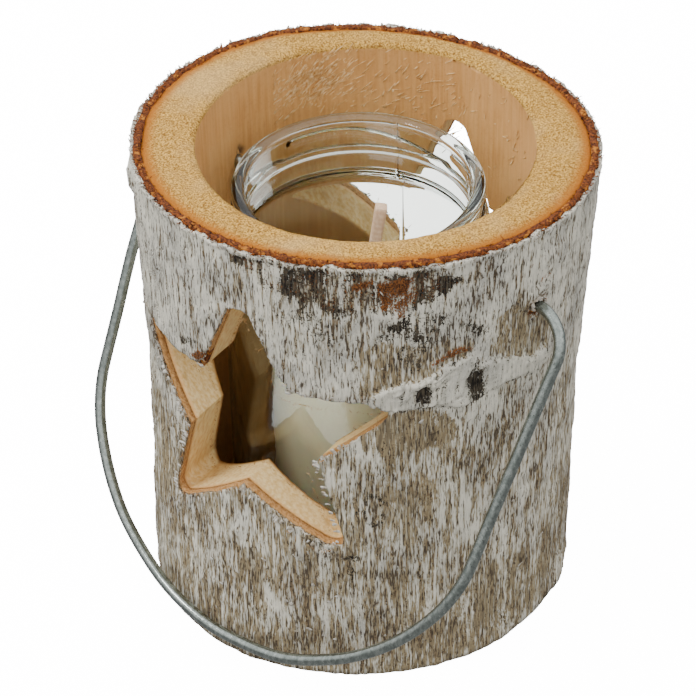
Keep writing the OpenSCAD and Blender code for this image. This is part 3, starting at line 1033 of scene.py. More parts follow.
def fibre_material(name, light, dark):
    """Torn bark and wood fibres: dry and matt, each lighter or darker than the next."""
    material, tree, place, shader = blank(name)
    noises = []
    for scale, location, detail, roughness in (
        ((500, 500, 500), (0, 0, 0), 2.0, 0.6),
        ((2600, 2600, 900), (0, 0, 0), 2.0, 0.6),
    ):
        spread = add(tree, "Mapping", {"Vector": place, "Scale": scale, "Location": location})
        settings = {"Vector": spread, "Scale": 1.0, "Detail": detail, "Roughness": roughness}
        noises.append(add(tree, "TexNoise", settings))
    tone, fine = noises
    colour = srgb(dark)
    for value, low, high, most, paint in (
        (tone, 0.36, 0.64, 1.0, light),
        (fine, 0.4, 0.7, 0.35, dark),
    ):
        settings = {"Value": value, "From Min": low, "From Max": high, "To Max": most}
        share = add(tree, "MapRange", settings, interpolation_type="SMOOTHSTEP")
        settings = {FACTOR: share, BELOW: colour, ABOVE: srgb(paint)}
        colour = add(tree, "Mix", settings, out=MIXED, data_type="RGBA")
    bump = add(tree, "Bump", {"Height": fine, "Strength": 0.4, "Distance": 0.0001})
    rough = add(
        tree,
        "MapRange",
        {"Value": tone, "From Min": 0.3, "From Max": 0.7, "To Min": 0.75, "To Max": 0.92},
        interpolation_type="SMOOTHSTEP",
    )
    for key, value in {"Base Color": colour, "Roughness": rough, "Normal": bump}.items():
        tree.links.new(value, shader.inputs[key])
    shader.inputs["Specular IOR Level"].default_value = 0.25
    return material


def glass_material(look):
    """Pressed soda glass: clear, index 1.52, very slightly green, with the faint ripple that the mould
    leaves, which bends what is seen through it."""
    material, tree, place, shader = blank("soda_glass")
    noises = []
    for scale, location, detail, roughness in (
        ((70, 70, 34), (0, 0, 0), 2.0, 0.5),
        ((260, 260, 120), (3, 3, 3), 2.0, 0.5),
    ):
        spread = add(tree, "Mapping", {"Vector": place, "Scale": scale, "Location": location})
        settings = {"Vector": spread, "Scale": 1.0, "Detail": detail, "Roughness": roughness}
        noises.append(add(tree, "TexNoise", settings))
    ripple, fine = noises
    height = 0.0
    for part, share in ((ripple, 1.0), (fine, 0.15)):
        height = add(tree, "Math", {0: part, 1: share, 2: height}, operation="MULTIPLY_ADD")
    bump = add(tree, "Bump", {"Height": height, "Strength": 0.35, "Distance": 0.0006})
    tree.links.new(bump, shader.inputs["Normal"])
    clear = add(
        tree,
        "Mix",
        {
            FACTOR: add(
                tree,
                "MapRange",
                {"Value": ripple, "From Min": 0.2, "From Max": 0.8},
                interpolation_type="SMOOTHSTEP",
            ),
            BELOW: srgb(look.glass),
            ABOVE: srgb("F4FAF7"),
        },
        out=MIXED,
        data_type="RGBA",
    )
    # Painted shade: the base colour turns dark grey green where the glass is seen edge on, in place of the
    # dark edges that refraction shows.
    edge = add(tree, "LayerWeight", {"Blend": 0.5}, out="Facing")
    clear = add(
        tree,
        "Mix",
        {
            FACTOR: add(
                tree,
                "MapRange",
                {"Value": edge, "From Min": 0.62, "From Max": 0.97},
                interpolation_type="SMOOTHSTEP",
            ),
            BELOW: clear,
            ABOVE: srgb("57655D"),
        },
        out=MIXED,
        data_type="RGBA",
    )
    tree.links.new(clear, shader.inputs["Base Color"])
    # Long paths through the lip and the thread lose light, so the edges are a darker grey green.
    depth = add(tree, "VolumeAbsorption", {"Color": srgb("8FA89B"), "Density": 25.0})
    tree.links.new(depth, next(n for n in tree.nodes if n.type == "OUTPUT_MATERIAL").inputs["Volume"])
    for key, value in {"Transmission Weight": 1.0, "IOR": 1.52, "Roughness": 0.0}.items():
        shader.inputs[key].default_value = value
    return material


def wax_material(look):
    """Cream candle wax: light sinks in and comes back warmer, so edges glow; a low waxy gloss with
    faint cloudy patches and scuffs."""
    material, tree, place, shader = blank("cream_candle_wax")
    noises = []
    for scale, location, detail, roughness in (
        ((60, 60, 40), (0, 0, 0), 3.0, 0.55),
        ((900, 900, 220), (2, 5, 1), 3.0, 0.6),
    ):
        spread = add(tree, "Mapping", {"Vector": place, "Scale": scale, "Location": location})
        settings = {"Vector": spread, "Scale": 1.0, "Detail": detail, "Roughness": roughness}
        noises.append(add(tree, "TexNoise", settings))
    cloud, scuff = noises
    colour = srgb(look.wax)
    for value, low, high, most, paint in (
        (cloud, 0.35, 0.7, 1.0, "F3E1B6"),
        (scuff, 0.6, 0.75, 0.3, "C9B98F"),
    ):
        settings = {"Value": value, "From Min": low, "From Max": high, "To Max": most}
        share = add(tree, "MapRange", settings, interpolation_type="SMOOTHSTEP")
        settings = {FACTOR: share, BELOW: colour, ABOVE: srgb(paint)}
        colour = add(tree, "Mix", settings, out=MIXED, data_type="RGBA")
    mixture = 0.0
    for part, share in ((scuff, 0.6), (cloud, 0.6)):
        mixture = add(tree, "Math", {0: part, 1: share, 2: mixture}, operation="MULTIPLY_ADD")
    bump = add(tree, "Bump", {"Height": mixture, "Strength": 0.3, "Distance": 0.0003})
    rough = add(
        tree,
        "MapRange",
        {"Value": scuff, "From Min": 0.3, "From Max": 0.7, "To Min": 0.38, "To Max": 0.6},
        interpolation_type="SMOOTHSTEP",
    )
    for key, value in {"Base Color": colour, "Roughness": rough, "Normal": bump}.items():
        tree.links.new(value, shader.inputs[key])
    shader.inputs["Subsurface Weight"].default_value = 0.6
    shader.inputs["Subsurface Radius"].default_value = (0.006, 0.004, 0.0025)
    shader.inputs["Subsurface Scale"].default_value = 1.0
    return material


def wick_material(look):
    """A waxed cotton wick: cotton stiffened with pale wax, matt with the braid's small diagonal ribs."""
    material, tree, place, shader = blank("waxed_cotton")
    turned = add(tree, "Mapping", {"Vector": place, "Rotation": (0.0, 0.5, 0.7)})
    ribs = add(
        tree, "TexWave", {"Vector": turned, "Scale": 420.0, "Distortion": 2.0, "Detail": 2.0}, out="Fac"
    )
    fuzz = add(
        tree,
        "TexNoise",
        {
            "Vector": add(tree, "Mapping", {"Vector": place, "Scale": (1500, 1500, 500)}),
            "Scale": 1.0,
            "Detail": 3.0,
            "Roughness": 0.6,
        },
    )
    mixture = 0.0
    for part, share in ((ribs, 0.15), (fuzz, 0.8)):
        mixture = add(tree, "Math", {0: part, 1: share, 2: mixture}, operation="MULTIPLY_ADD")
    colour = add(
        tree,
        "Mix",
        {
            FACTOR: add(
                tree,
                "MapRange",
                {"Value": mixture, "From Min": 0.3, "From Max": 0.8},
                interpolation_type="SMOOTHSTEP",
            ),
            BELOW: srgb("D6B493"),
            ABOVE: srgb("EDD5BA"),
        },
        out=MIXED,
        data_type="RGBA",
    )
    mixture = 0.0
    for part, share in ((ribs, 0.5), (fuzz, 0.5)):
        mixture = add(tree, "Math", {0: part, 1: share, 2: mixture}, operation="MULTIPLY_ADD")
    bump = add(tree, "Bump", {"Height": mixture, "Strength": 0.5, "Distance": 0.0002})
    rough = add(
        tree,
        "MapRange",
        {"Value": fuzz, "From Min": 0.3, "From Max": 0.7, "To Min": 0.55, "To Max": 0.8},
        interpolation_type="SMOOTHSTEP",
    )
    for key, value in {"Base Color": colour, "Roughness": rough, "Normal": bump}.items():
        tree.links.new(value, shader.inputs[key])
    return material


def zinc_material(look):
    """Galvanised wire: dull zinc grey, brighter where it rubbed, with fine drawing lines along the wire
    and small dark specks of oxide."""
    material, tree, place, shader = blank("galvanised_zinc")
    noises = []
    for scale, location, detail, roughness in (
        ((160, 160, 160), (0, 0, 0), 3.0, 0.6),
        ((700, 700, 420), (3, 1, 4), 4.0, 0.65),
        ((1500, 1500, 1100), (7, 1, 4), 2.0, 0.7),
    ):
        spread = add(tree, "Mapping", {"Vector": place, "Scale": scale, "Location": location})
        settings = {"Vector": spread, "Scale": 1.0, "Detail": detail, "Roughness": roughness}
        noises.append(add(tree, "TexNoise", settings))
    shine, rub, speck = noises
    colour = srgb(look.zinc)
    for value, low, high, most, paint in (
        (rub, 0.32, 0.72, 1.0, "B4BCB8"),
        (speck, 0.62, 0.72, 0.7, "3A3D3B"),
    ):
        settings = {"Value": value, "From Min": low, "From Max": high, "To Max": most}
        share = add(tree, "MapRange", settings, interpolation_type="SMOOTHSTEP")
        settings = {FACTOR: share, BELOW: colour, ABOVE: srgb(paint)}
        colour = add(tree, "Mix", settings, out=MIXED, data_type="RGBA")
    rough = 0.0
    for part, share in (
        (
            add(
                tree,
                "MapRange",
                {"Value": rub, "From Min": 0.35, "From Max": 0.7},
                interpolation_type="SMOOTHSTEP",
            ),
            0.1,
        ),
        (shine, 0.1),
        (1.0, 0.13),
    ):
        rough = add(tree, "Math", {0: part, 1: share, 2: rough}, operation="MULTIPLY_ADD")
    mixture = 0.0
    for part, share in ((rub, 0.7), (speck, 0.5)):
        mixture = add(tree, "Math", {0: part, 1: share, 2: mixture}, operation="MULTIPLY_ADD")
    bump = add(tree, "Bump", {"Height": mixture, "Strength": 0.3, "Distance": 0.0001})
    for key, value in {"Base Color": colour, "Roughness": rough, "Normal": bump}.items():
        tree.links.new(value, shader.inputs[key])
    shader.inputs["Metallic"].default_value = 1.0
    return material


def tin_material():
    """Tinplate: thin bright sheet with a soft grain from rolling, dulled by handling."""
    material, tree, place, shader = blank("rolled_tinplate")
    noises = []
    for scale, location, detail, roughness in (
        ((90, 2400, 90), (0, 0, 0), 3.0, 0.6),
        ((240, 240, 240), (1, 2, 3), 3.0, 0.6),
    ):
        spread = add(tree, "Mapping", {"Vector": place, "Scale": scale, "Location": location})
        settings = {"Vector": spread, "Scale": 1.0, "Detail": detail, "Roughness": roughness}
        noises.append(add(tree, "TexNoise", settings))
    roll, haze = noises
    colour = add(
        tree,
        "Mix",
        {
            FACTOR: add(
                tree,
                "MapRange",
                {"Value": haze, "From Min": 0.35, "From Max": 0.7},
                interpolation_type="SMOOTHSTEP",
            ),
            BELOW: srgb("C4C6C4"),
            ABOVE: srgb("A3A6A4"),
        },
        out=MIXED,
        data_type="RGBA",
    )
    rough = 0.0
    for part, share in ((roll, 0.2), (haze, 0.2), (1.0, 0.12)):
        rough = add(tree, "Math", {0: part, 1: share, 2: rough}, operation="MULTIPLY_ADD")
    bump = add(tree, "Bump", {"Height": roll, "Strength": 0.25, "Distance": 0.0001})
    for key, value in {"Base Color": colour, "Roughness": rough, "Normal": bump}.items():
        tree.links.new(value, shader.inputs[key])
    shader.inputs["Metallic"].default_value = 1.0
    return material


# ---------------------------------------------------------------- settings


class LanternLook(bpy.types.PropertyGroup):
    """Colours of the lantern's materials, as hex digits."""

    white: StringProperty(name="Bark white", description="Clean white bark", default="E6E2D2")
    grey: StringProperty(name="Bark grey", description="Weathered bark", default="B7B5AC")
    grain_dark: StringProperty(
        name="End grain, dark",
        description="Dark part of the sawn end",
        default="86591F",
    )
    grain_light: StringProperty(
        name="End grain, light",
        description="Light part of the sawn end",
        default="ECBD60",
    )
    wall_dark: StringProperty(
        name="Bore, dark",
        description="Dark fibres of the bored wall",
        default="C18C4E",
    )
    wall_light: StringProperty(
        name="Bore, light",
        description="Light fibres of the bored wall",
        default="D6A468",
    )
    glass: StringProperty(name="Glass", description="Tint of the glass", default="F0F5F1")
    wax: StringProperty(name="Wax", description="Colour of the candle", default="FCECC9")
    zinc: StringProperty(name="Zinc", description="Dull zinc of the wire", default="8A938F")


class LanternSizes(bpy.types.PropertyGroup):
    """Sizes that change the lantern's finish and not its dimensions."""

    relief: FloatProperty(
        name="Bark relief",
        description="How strongly the bark stands up, as a share of the real one",
        default=1.0,
        min=0.0,
        max=2.0,
    )
    fringe: FloatProperty(
        name="Fringe length",
        description="Longest torn fibre at the rim",
        default=0.0020,
        min=0.0005,
        max=0.003,
        unit="LENGTH",
    )
    fibres: IntProperty(
        name="Rim fibres",
        description="How many torn fibres stand round the rim",
        default=2800,
        min=100,
        max=4000,
    )
    flakes: IntProperty(
        name="Bark flakes",
        description="How many loose flakes of white bark there are",
        default=760,
        min=0,
        max=2000,
    )
    key_light: FloatProperty(
        name="Key light",
        description="Power of the large soft light",
        default=15.0,
        min=0.0,
        unit="POWER",
    )
    glow: FloatProperty(
        name="Floor through glass",
        description="Brightness of the floor where the glass shows it",
        default=2.2,
        min=0.0,
    )
    sky: FloatProperty(
        name="Room light",
        description="Strength of the even light from all round",
        default=0.95,
        min=0.0,
    )


def look():
    """The scene's colours for the lantern."""
    return bpy.context.scene.lantern_look


def sizes():
    """The scene's settings for the lantern's finish."""
    return bpy.context.scene.lantern_sizes


GRID = StarGrid(430, 320)


def peel_back(amount, seed, tear=0.0):
    """How far each ray's edge of bark is chipped back from the star, in mm, at the front and back."""
    sample = np.stack([np.cos(GRID.way) * 9, np.sin(GRID.way) * 9, 0 * GRID.way], -1)
    chips = lambda s: amount * (
        0.25 + np.abs(value_noise(sample * 1.9, s)) + 0.5 * np.abs(value_noise(sample * 5.1, s + 1))
    )
    tip = tear * np.exp(-((((GRID.way - 2.31 + np.pi) % (2 * np.pi) - np.pi) / 0.16) ** 2))
    return {-1: chips(seed) + tip, 1: chips(seed + 5)}


# ---------------------------------------------------------------- operators


class LANTERN_OT_bark(bpy.types.Operator):
    """Makes the white outer bark, with its relief and weathering."""

    bl_idname = "lantern.bark"
    bl_label = "Outer bark"

    def execute(self, context):
        p, f = bark_layer(GRID, 0.0, OUTER_T, 0.5, 169.5, 48, 4, peel_back(1.2, 3, 1.4))
        x, y, z = p.T
        theta, r = np.arctan2(y, x), np.hypot(x, y)
        skin = 1 - np.clip((log_radius(theta, z) - r) / OUTER_T, 0, 1)
        rise, brown, dark, rust, clean = bark_marks(x, y, z)
        rise = np.clip(rise * sizes().relief, -0.75, 2.4) * skin - 3.2 * wire_pit(theta, z, 4.4)
        rag = grain(x, y, z, (3.0, 3.0, 50), 61)
        drop = steps(z, 163.0, 169.5) * (0.55 + 0.9 * rag + 0.45 * grain(x, y, z, (1.2, 1.2, 50), 66, 2))
        lift = 0.3 * steps(z, 166.5, 169.5) * skin
        out = (r + rise + lift) / r
        q = np.stack([x * out, y * out, z - drop], -1)
        marks = {"brown": brown, "dark": dark, "rust": rust + 1.1 * wire_pit(theta, z, 5.6), "clean": clean}
        piece = make_piece("bark_outer", q, f, bark_material(look()), marks)
        drill(piece, HOLE_R)
        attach(piece, "log")
        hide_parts("outer_bark")
        return {"FINISHED"}


class LANTERN_OT_inner_bark(bpy.types.Operator):
    """Makes the orange inner bark, which shows round the star and along the rim."""

    bl_idname = "lantern.inner_bark"
    bl_label = "Inner bark"

    def execute(self, context):
        depth = OUTER_T + PEEL_GAP
        p, f = bark_layer(GRID, depth, depth + INNER_T, 0.5, 169.7, 16, 5, peel_back(0.18, 13))
        x, y, z = p.T
        theta, r = np.arctan2(y, x), np.hypot(x, y)
        rag = grain(x, y, z, (2.2, 2.2, 50), 71)
        tear = grain(x, y, z, (1.1, 1.1, 50), 75, 2)
        z2 = z + steps(z, 165, 169.7) * (0.45 * rag + 0.55 * tear - 0.2)
        ruffle = 0.35 * steps(z, 167, 169.7) * grain(x, y, z, (1.6, 1.6, 50), 78, 2)
        out = (r - 3.0 * wire_pit(theta, z, 3.2) + ruffle) / r
        torn = steps(z, 164.5, 167.5) + 0.9 * spot(theta, z, (-97, 119.5), (9, 5), 28)
        torn = torn + 0.8 * wire_pit(theta, z, 6.0) + 0.4 * steps(-z, -8, -2)
        piece = make_piece(
            "bark_inner",
            np.stack([x * out, y * out, z2], -1),
            f,
            inner_bark_material(look()),
            {"torn": torn},
        )
        drill(piece, HOLE_R)
        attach(piece, "log")
        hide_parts("inner_bark")
        return {"FINISHED"}


class LANTERN_OT_wood(bpy.types.Operator):
    """Makes the log's wood: end grain, bore, star faces, floor and base."""

    bl_idname = "lantern.wood"
    bl_label = "Log wood"

    def execute(self, context):
        p, f = log_skin(GRID)
        x, y, z = p.T
        theta, r = np.arctan2(y, x), np.maximum(np.hypot(x, y), 1e-6)
        outer = log_radius(theta, z) - OUTER_T - INNER_T - 3 * PEEL_GAP
        bore = bore_radius(theta, z)
        across = (r - bore) / (outer - bore)
        top = (z > LOG_H - 1e-6).astype(float)
        wall = (np.abs(r - bore) < 1e-3) & (z > FLOOR_T + 1e-3)
        inside = (across > 0.02) & (across < 0.98) & (z > 40) & (top < 0.5)
        crumb = grain(x, y, z, (1.6, 1.6, 1.6), 81, 2)
        lumps = grain(x, y, z, (14, 14, 14), 85)
        second = 1.2 * np.clip(np.cos(theta - 0.35), 0, 1) ** 3
        drop = (
            0.9 * steps(across, 0.72, 1.0)
            + (1.1 + 1.2 * second) * (1 - steps(across, 0.0, 0.14 + 0.13 * second))
        )
        z2 = z - top * (drop - 0.22 * crumb - 0.3 * lumps)
        ribs = 0.10 * grain(x, y, z, (1.1, 1.1, 22), 91) + 0.25 * grain(x, y, z, (16, 16, 30), 95)
        # The pit by the wire's left exit: dark torn wood, with painted shade standing in for the pit's
        # shadow.
        torn_scar_and_shade = spot(theta, z, (178.5, 141.5), (2.6, 4.2)) * wall
        pit = 0.6 * spot(theta, z, (178.5, 141.5), (2.8, 4.6)) * wall
        torn = grain(theta * 53 * 0.78 + z * 0.62, 0 * x, z * 0.78 - theta * 53 * 0.62, (1.5, 1, 9), 99, 2)
        pit = pit + 0.45 * torn * spot(theta, z, (147, 158), (17, 11))
        out = (r + wall * (ribs + pit) - 3.0 * wire_pit(theta, z, 3.0) * (across > 0.9)) / r
        saw = inside * 0.12 * grain(x, y, z, (9, 1.2, 9), 97)
        q = np.stack([x * out, y * out, z2 + saw * 0.5], -1)
        marks = {
            "end": top + 0.5 * wall * steps(z, 167.5, 170),
            "stain": top * steps(across, 0.6, 1.05),
            "cut": inside.astype(float),
            # Painted shade down the bore: the lower the wall, the darker.
            "bore_depth_shade": 0.55 * wall * steps(140 - z, 0, 60),
            "torn_scar_and_shade": np.clip(torn_scar_and_shade * 0.9, 0, 1),
        }
        piece = make_piece("log_body", q, f, wood_material(look()), marks)
        drill(piece, HOLE_R)
        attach(piece, "log")
        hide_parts("log_wood")
        return {"FINISHED"}


class LANTERN_OT_fringe(bpy.types.Operator):
    """Makes the torn fibres round the rim, the star and the wire holes."""

    bl_idname = "lantern.fringe"
    bl_label = "Torn fibres"

    def execute(self, context):
        n = sizes().fibres
        rng = np.random.default_rng(5)
        a = rng.random(n) * 2 * np.pi
        depth = rng.random(n) * 3.2 + 0.5
        r = log_radius(a, 169.0 + 0 * a) - depth
        outward = np.stack([np.cos(a), np.sin(a), 0 * a], -1)
        round_it = np.stack([-np.sin(a), np.cos(a), 0 * a], -1)
        up = np.array([0.0, 0.0, 1.0])
        foot = outward * r[:, None] + up * (168.6 + 0.6 * rng.random(n))[:, None]
        along = (
            outward * rng.normal(0.15, 0.55, n)[:, None]
            + round_it * rng.normal(0, 0.6, n)[:, None]
            + up * rng.uniform(0.3, 1.0, n)[:, None]
        )
        along /= np.linalg.norm(along, axis=1)[:, None]
        bend = outward * rng.normal(0.25, 0.3, n)[:, None] - up * rng.uniform(0.0, 0.5, n)[:, None]
        length = sizes().fringe * 1000 * (0.35 + 0.65 * rng.random(n) ** 2)
        p, f = slivers(
            foot, along, round_it, bend, length, 0.18 + 0.25 * rng.random(n), 0.14 + 0.1 * rng.random(n)
        )
        piece = make_piece("rim_fibres", p, f, fibre_material("torn_bark_fibre", "9C5620", "35180B"))
        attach(piece, "log")

        # Short pale fibres along the edges of the star's cut, at the bark and at the bore.
        m = 900
        k = rng.integers(0, len(GRID.u), m)
        side = np.where(rng.random(m) < 0.7, -1, 1)
        at_bark = rng.random(m) < 0.45
        turn = math.radians(STAR_TURN)
        radius = np.where(at_bark, 67.6, 52.9)
        u, w = GRID.u[k], GRID.w[k]
        v = side * np.sqrt(radius**2 - u**2)
        foot = np.stack(
            [u * math.cos(turn) - v * math.sin(turn), u * math.sin(turn) + v * math.cos(turn), STAR_Z + w],
            -1,
        )
        inward = -np.stack([u * math.cos(turn), u * math.sin(turn), w], -1)
        inward /= np.linalg.norm(inward, axis=1)[:, None]
        along = inward + rng.normal(0, 0.8, (m, 3))
        along /= np.linalg.norm(along, axis=1)[:, None]
        across = np.cross(along, rng.normal(0, 1, (m, 3)))
        across /= np.linalg.norm(across, axis=1)[:, None]
        length = 0.4 + 1.5 * rng.random(m) ** 3
        p, f = slivers(
            foot,
            along,
            across,
            rng.normal(0, 0.3, (m, 3)),
            length,
            0.1 + 0.12 * rng.random(m),
            0.08 + 0.06 * rng.random(m),
        )
        piece = make_piece("star_fibres", p, f, fibre_material("torn_wood_fibre", "D2A978", "9A6A38"))
        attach(piece, "log")

        # Torn fibres that lie along the bored wall, slanted as the cutter left them, and the splinter
        # beside the wire's left exit.
        m = 560
        near = rng.random(m) < 0.6
        a = np.radians(np.clip(np.where(near, rng.normal(147, 8, m), rng.normal(110, 28, m)), 20, 162))
        z = np.clip(np.where(near, rng.normal(158, 6, m), rng.normal(150, 9, m)), 124, 167)
        r = bore_radius(a, z) + 0.12
        outward = np.stack([np.cos(a), np.sin(a), 0 * a], -1)
        round_it = np.stack([-np.sin(a), np.cos(a), 0 * a], -1)
        foot = outward * r[:, None] + up * z[:, None]
        slant = rng.normal(-0.7, 0.25, m)
        along = round_it * np.sin(slant)[:, None] + up * np.cos(slant)[:, None] - outward * 0.06
        length = 1.5 + 4.5 * rng.random(m) ** 2
        p, f = slivers(
            foot,
            along,
            np.cross(along, outward),
            -outward * rng.random(m)[:, None] * 0.12,
            length,
            0.2 + 0.35 * rng.random(m),
            0.12 + 0.14 * rng.random(m),
        )
        b = np.radians(np.array([176.9, 179.8, 178.2, 177.3, 179.3]))
        rr = bore_radius(b, b * 0) + 0.5
        out2 = np.stack([np.cos(b), np.sin(b), 0 * b], -1)
        side2 = np.stack([-np.sin(b), np.cos(b), 0 * b], -1)
        foot2 = out2 * rr[:, None] + up * np.array([143.6, 144.6, 137.6, 139.0, 141.0])[:, None]
        along2 = (
            up * np.array([0.7, 0.6, -0.6, -0.3, 0.9])[:, None]
            - out2 * 0.02
            + side2 * np.array([0.3, -0.3, 0.2, -0.4, 0.1])[:, None]
        )
        along2 /= np.linalg.norm(along2, axis=1)[:, None]
        p2, f2 = slivers(
            foot2,
            along2,
            side2,
            out2 * 0.05,
            np.array([5.0, 3.6, 3.4, 2.6, 3.0]),
            np.array([1.3, 1.0, 1.2, 0.8, 0.7]),
            np.full(5, 0.35),
        )
        p, f = np.vstack([p, p2]), np.vstack([f, f2 + len(p)])
        piece = make_piece("bore_fibres", p, f, fibre_material("bored_wood_fibre", "F0D29C", "D0A267"))
        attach(piece, "log")
        return {"FINISHED"}


class LANTERN_OT_flakes(bpy.types.Operator):
    """Makes the loose papery flakes of white bark round the rim, the star and the raised band."""

    bl_idname = "lantern.flakes"
    bl_label = "Bark flakes"

    def execute(self, context):
        n = sizes().flakes
        rng = np.random.default_rng(17)
        kind = rng.random(n)
        a = rng.random(n) * 2 * np.pi
        z = np.where(kind < 0.45, 167.3 + 0.9 * rng.random(n), 6 + 158 * rng.random(n))
        k = rng.integers(0, len(GRID.u), n)
        at_star = kind > 0.66
        turn = math.radians(STAR_TURN)
        side = np.where(rng.random(n) < 0.7, -1, 1)
        run_u, run_w = np.roll(GRID.u, -1) - np.roll(GRID.u, 1), np.roll(GRID.w, -1) - np.roll(GRID.w, 1)
        far = (0.5 + 0.8 * rng.random(n)) / np.maximum(np.hypot(run_u, run_w), 1e-6)[k]
        star_u, star_w = GRID.u[k] + run_w[k] * far, GRID.w[k] - run_u[k] * far
        alpha = np.arcsin(star_u / 69.0)
        star_a = np.where(side < 0, turn - np.pi / 2 + alpha, turn + np.pi / 2 - alpha)
        a, z = np.where(at_star, star_a, a), np.where(at_star, STAR_Z + star_w, z)
        u_now = np.abs((a - turn) % np.pi - np.pi / 2) * 69
        inside_star = (np.hypot(u_now, z - STAR_Z) < 44) & ~at_star & (kind >= 0.45)
        z = np.where(inside_star, 10 + 35 * rng.random(n), z)
        theta = (a + np.pi) % (2 * np.pi) - np.pi
        r = log_radius(theta, z) + 0.1
        outward = np.stack([np.cos(a), np.sin(a), 0 * a], -1)
        round_it = np.stack([-np.sin(a), np.cos(a), 0 * a], -1)
        up = np.array([0.0, 0.0, 1.0])
        foot = outward * r[:, None] + up * z[:, None]
        slant = rng.normal(0, 0.5, n)
        edge = np.hypot(run_u, run_w)[k]
        sway = np.where(at_star, np.arctan2(-side * run_w[k] / edge, -run_u[k] / edge) + 0.3 * slant, slant)
        along = up * np.cos(sway)[:, None] + round_it * np.sin(sway)[:, None] + outward * 0.12
        across = round_it * np.cos(sway)[:, None] - up * np.sin(sway)[:, None]
        length = np.where(kind < 0.45, 0.7 + 1.2 * rng.random(n), 0.8 + 1.8 * rng.random(n))
        p, f = slivers(
            foot,
            along,
            across,
            outward * (0.05 + 0.25 * rng.random(n))[:, None],
            length,
            0.35 + 1.0 * rng.random(n),
            0.12 + 0.08 * rng.random(n),
            0.5,
        )

        # Torn lips round the wire holes, most of them above the wire.
        m = 60
        face = np.where(np.arange(m) % 2, 0.0, np.pi)
        spin = rng.normal(np.pi / 2, 0.9, m)
        reach = 2.5 + 1.5 * rng.random(m)
        a, z = face + np.cos(spin) * reach / 71.0, HOLE_Z + np.sin(spin) * reach
        out = np.stack([np.cos(face), np.sin(face), 0 * face], -1)
        rim = (
            np.stack([-np.sin(face), np.cos(face), 0 * face], -1) * np.cos(spin)[:, None]
            + up * np.sin(spin)[:, None]
        )
        foot = (
            np.stack([np.cos(a), np.sin(a), 0 * a], -1) * (log_radius(a, z) - 0.4)[:, None]
            + up * z[:, None]
        )
        lead = (
            rim * rng.uniform(-0.3, 0.8, m)[:, None]
            + out * rng.uniform(0.3, 0.9, m)[:, None]
            + rng.normal(0, 0.2, (m, 3))
        )
        lead /= np.linalg.norm(lead, axis=1)[:, None]
        p2, f2 = slivers(
            foot,
            lead,
            np.cross(rim, out),
            rim * rng.normal(0, 0.3, m)[:, None],
            0.8 + 1.6 * rng.random(m),
            0.5 + 0.9 * rng.random(m),
            0.15 + 0.15 * rng.random(m),
            0.6,
        )
        p, f = np.vstack([p, p2]), np.vstack([f, f2 + len(p)])
        piece = make_piece("bark_flakes", p, f, fibre_material("papery_bark", "E3E1DA", "A79C8A"))
        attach(piece, "log")
        return {"FINISHED"}


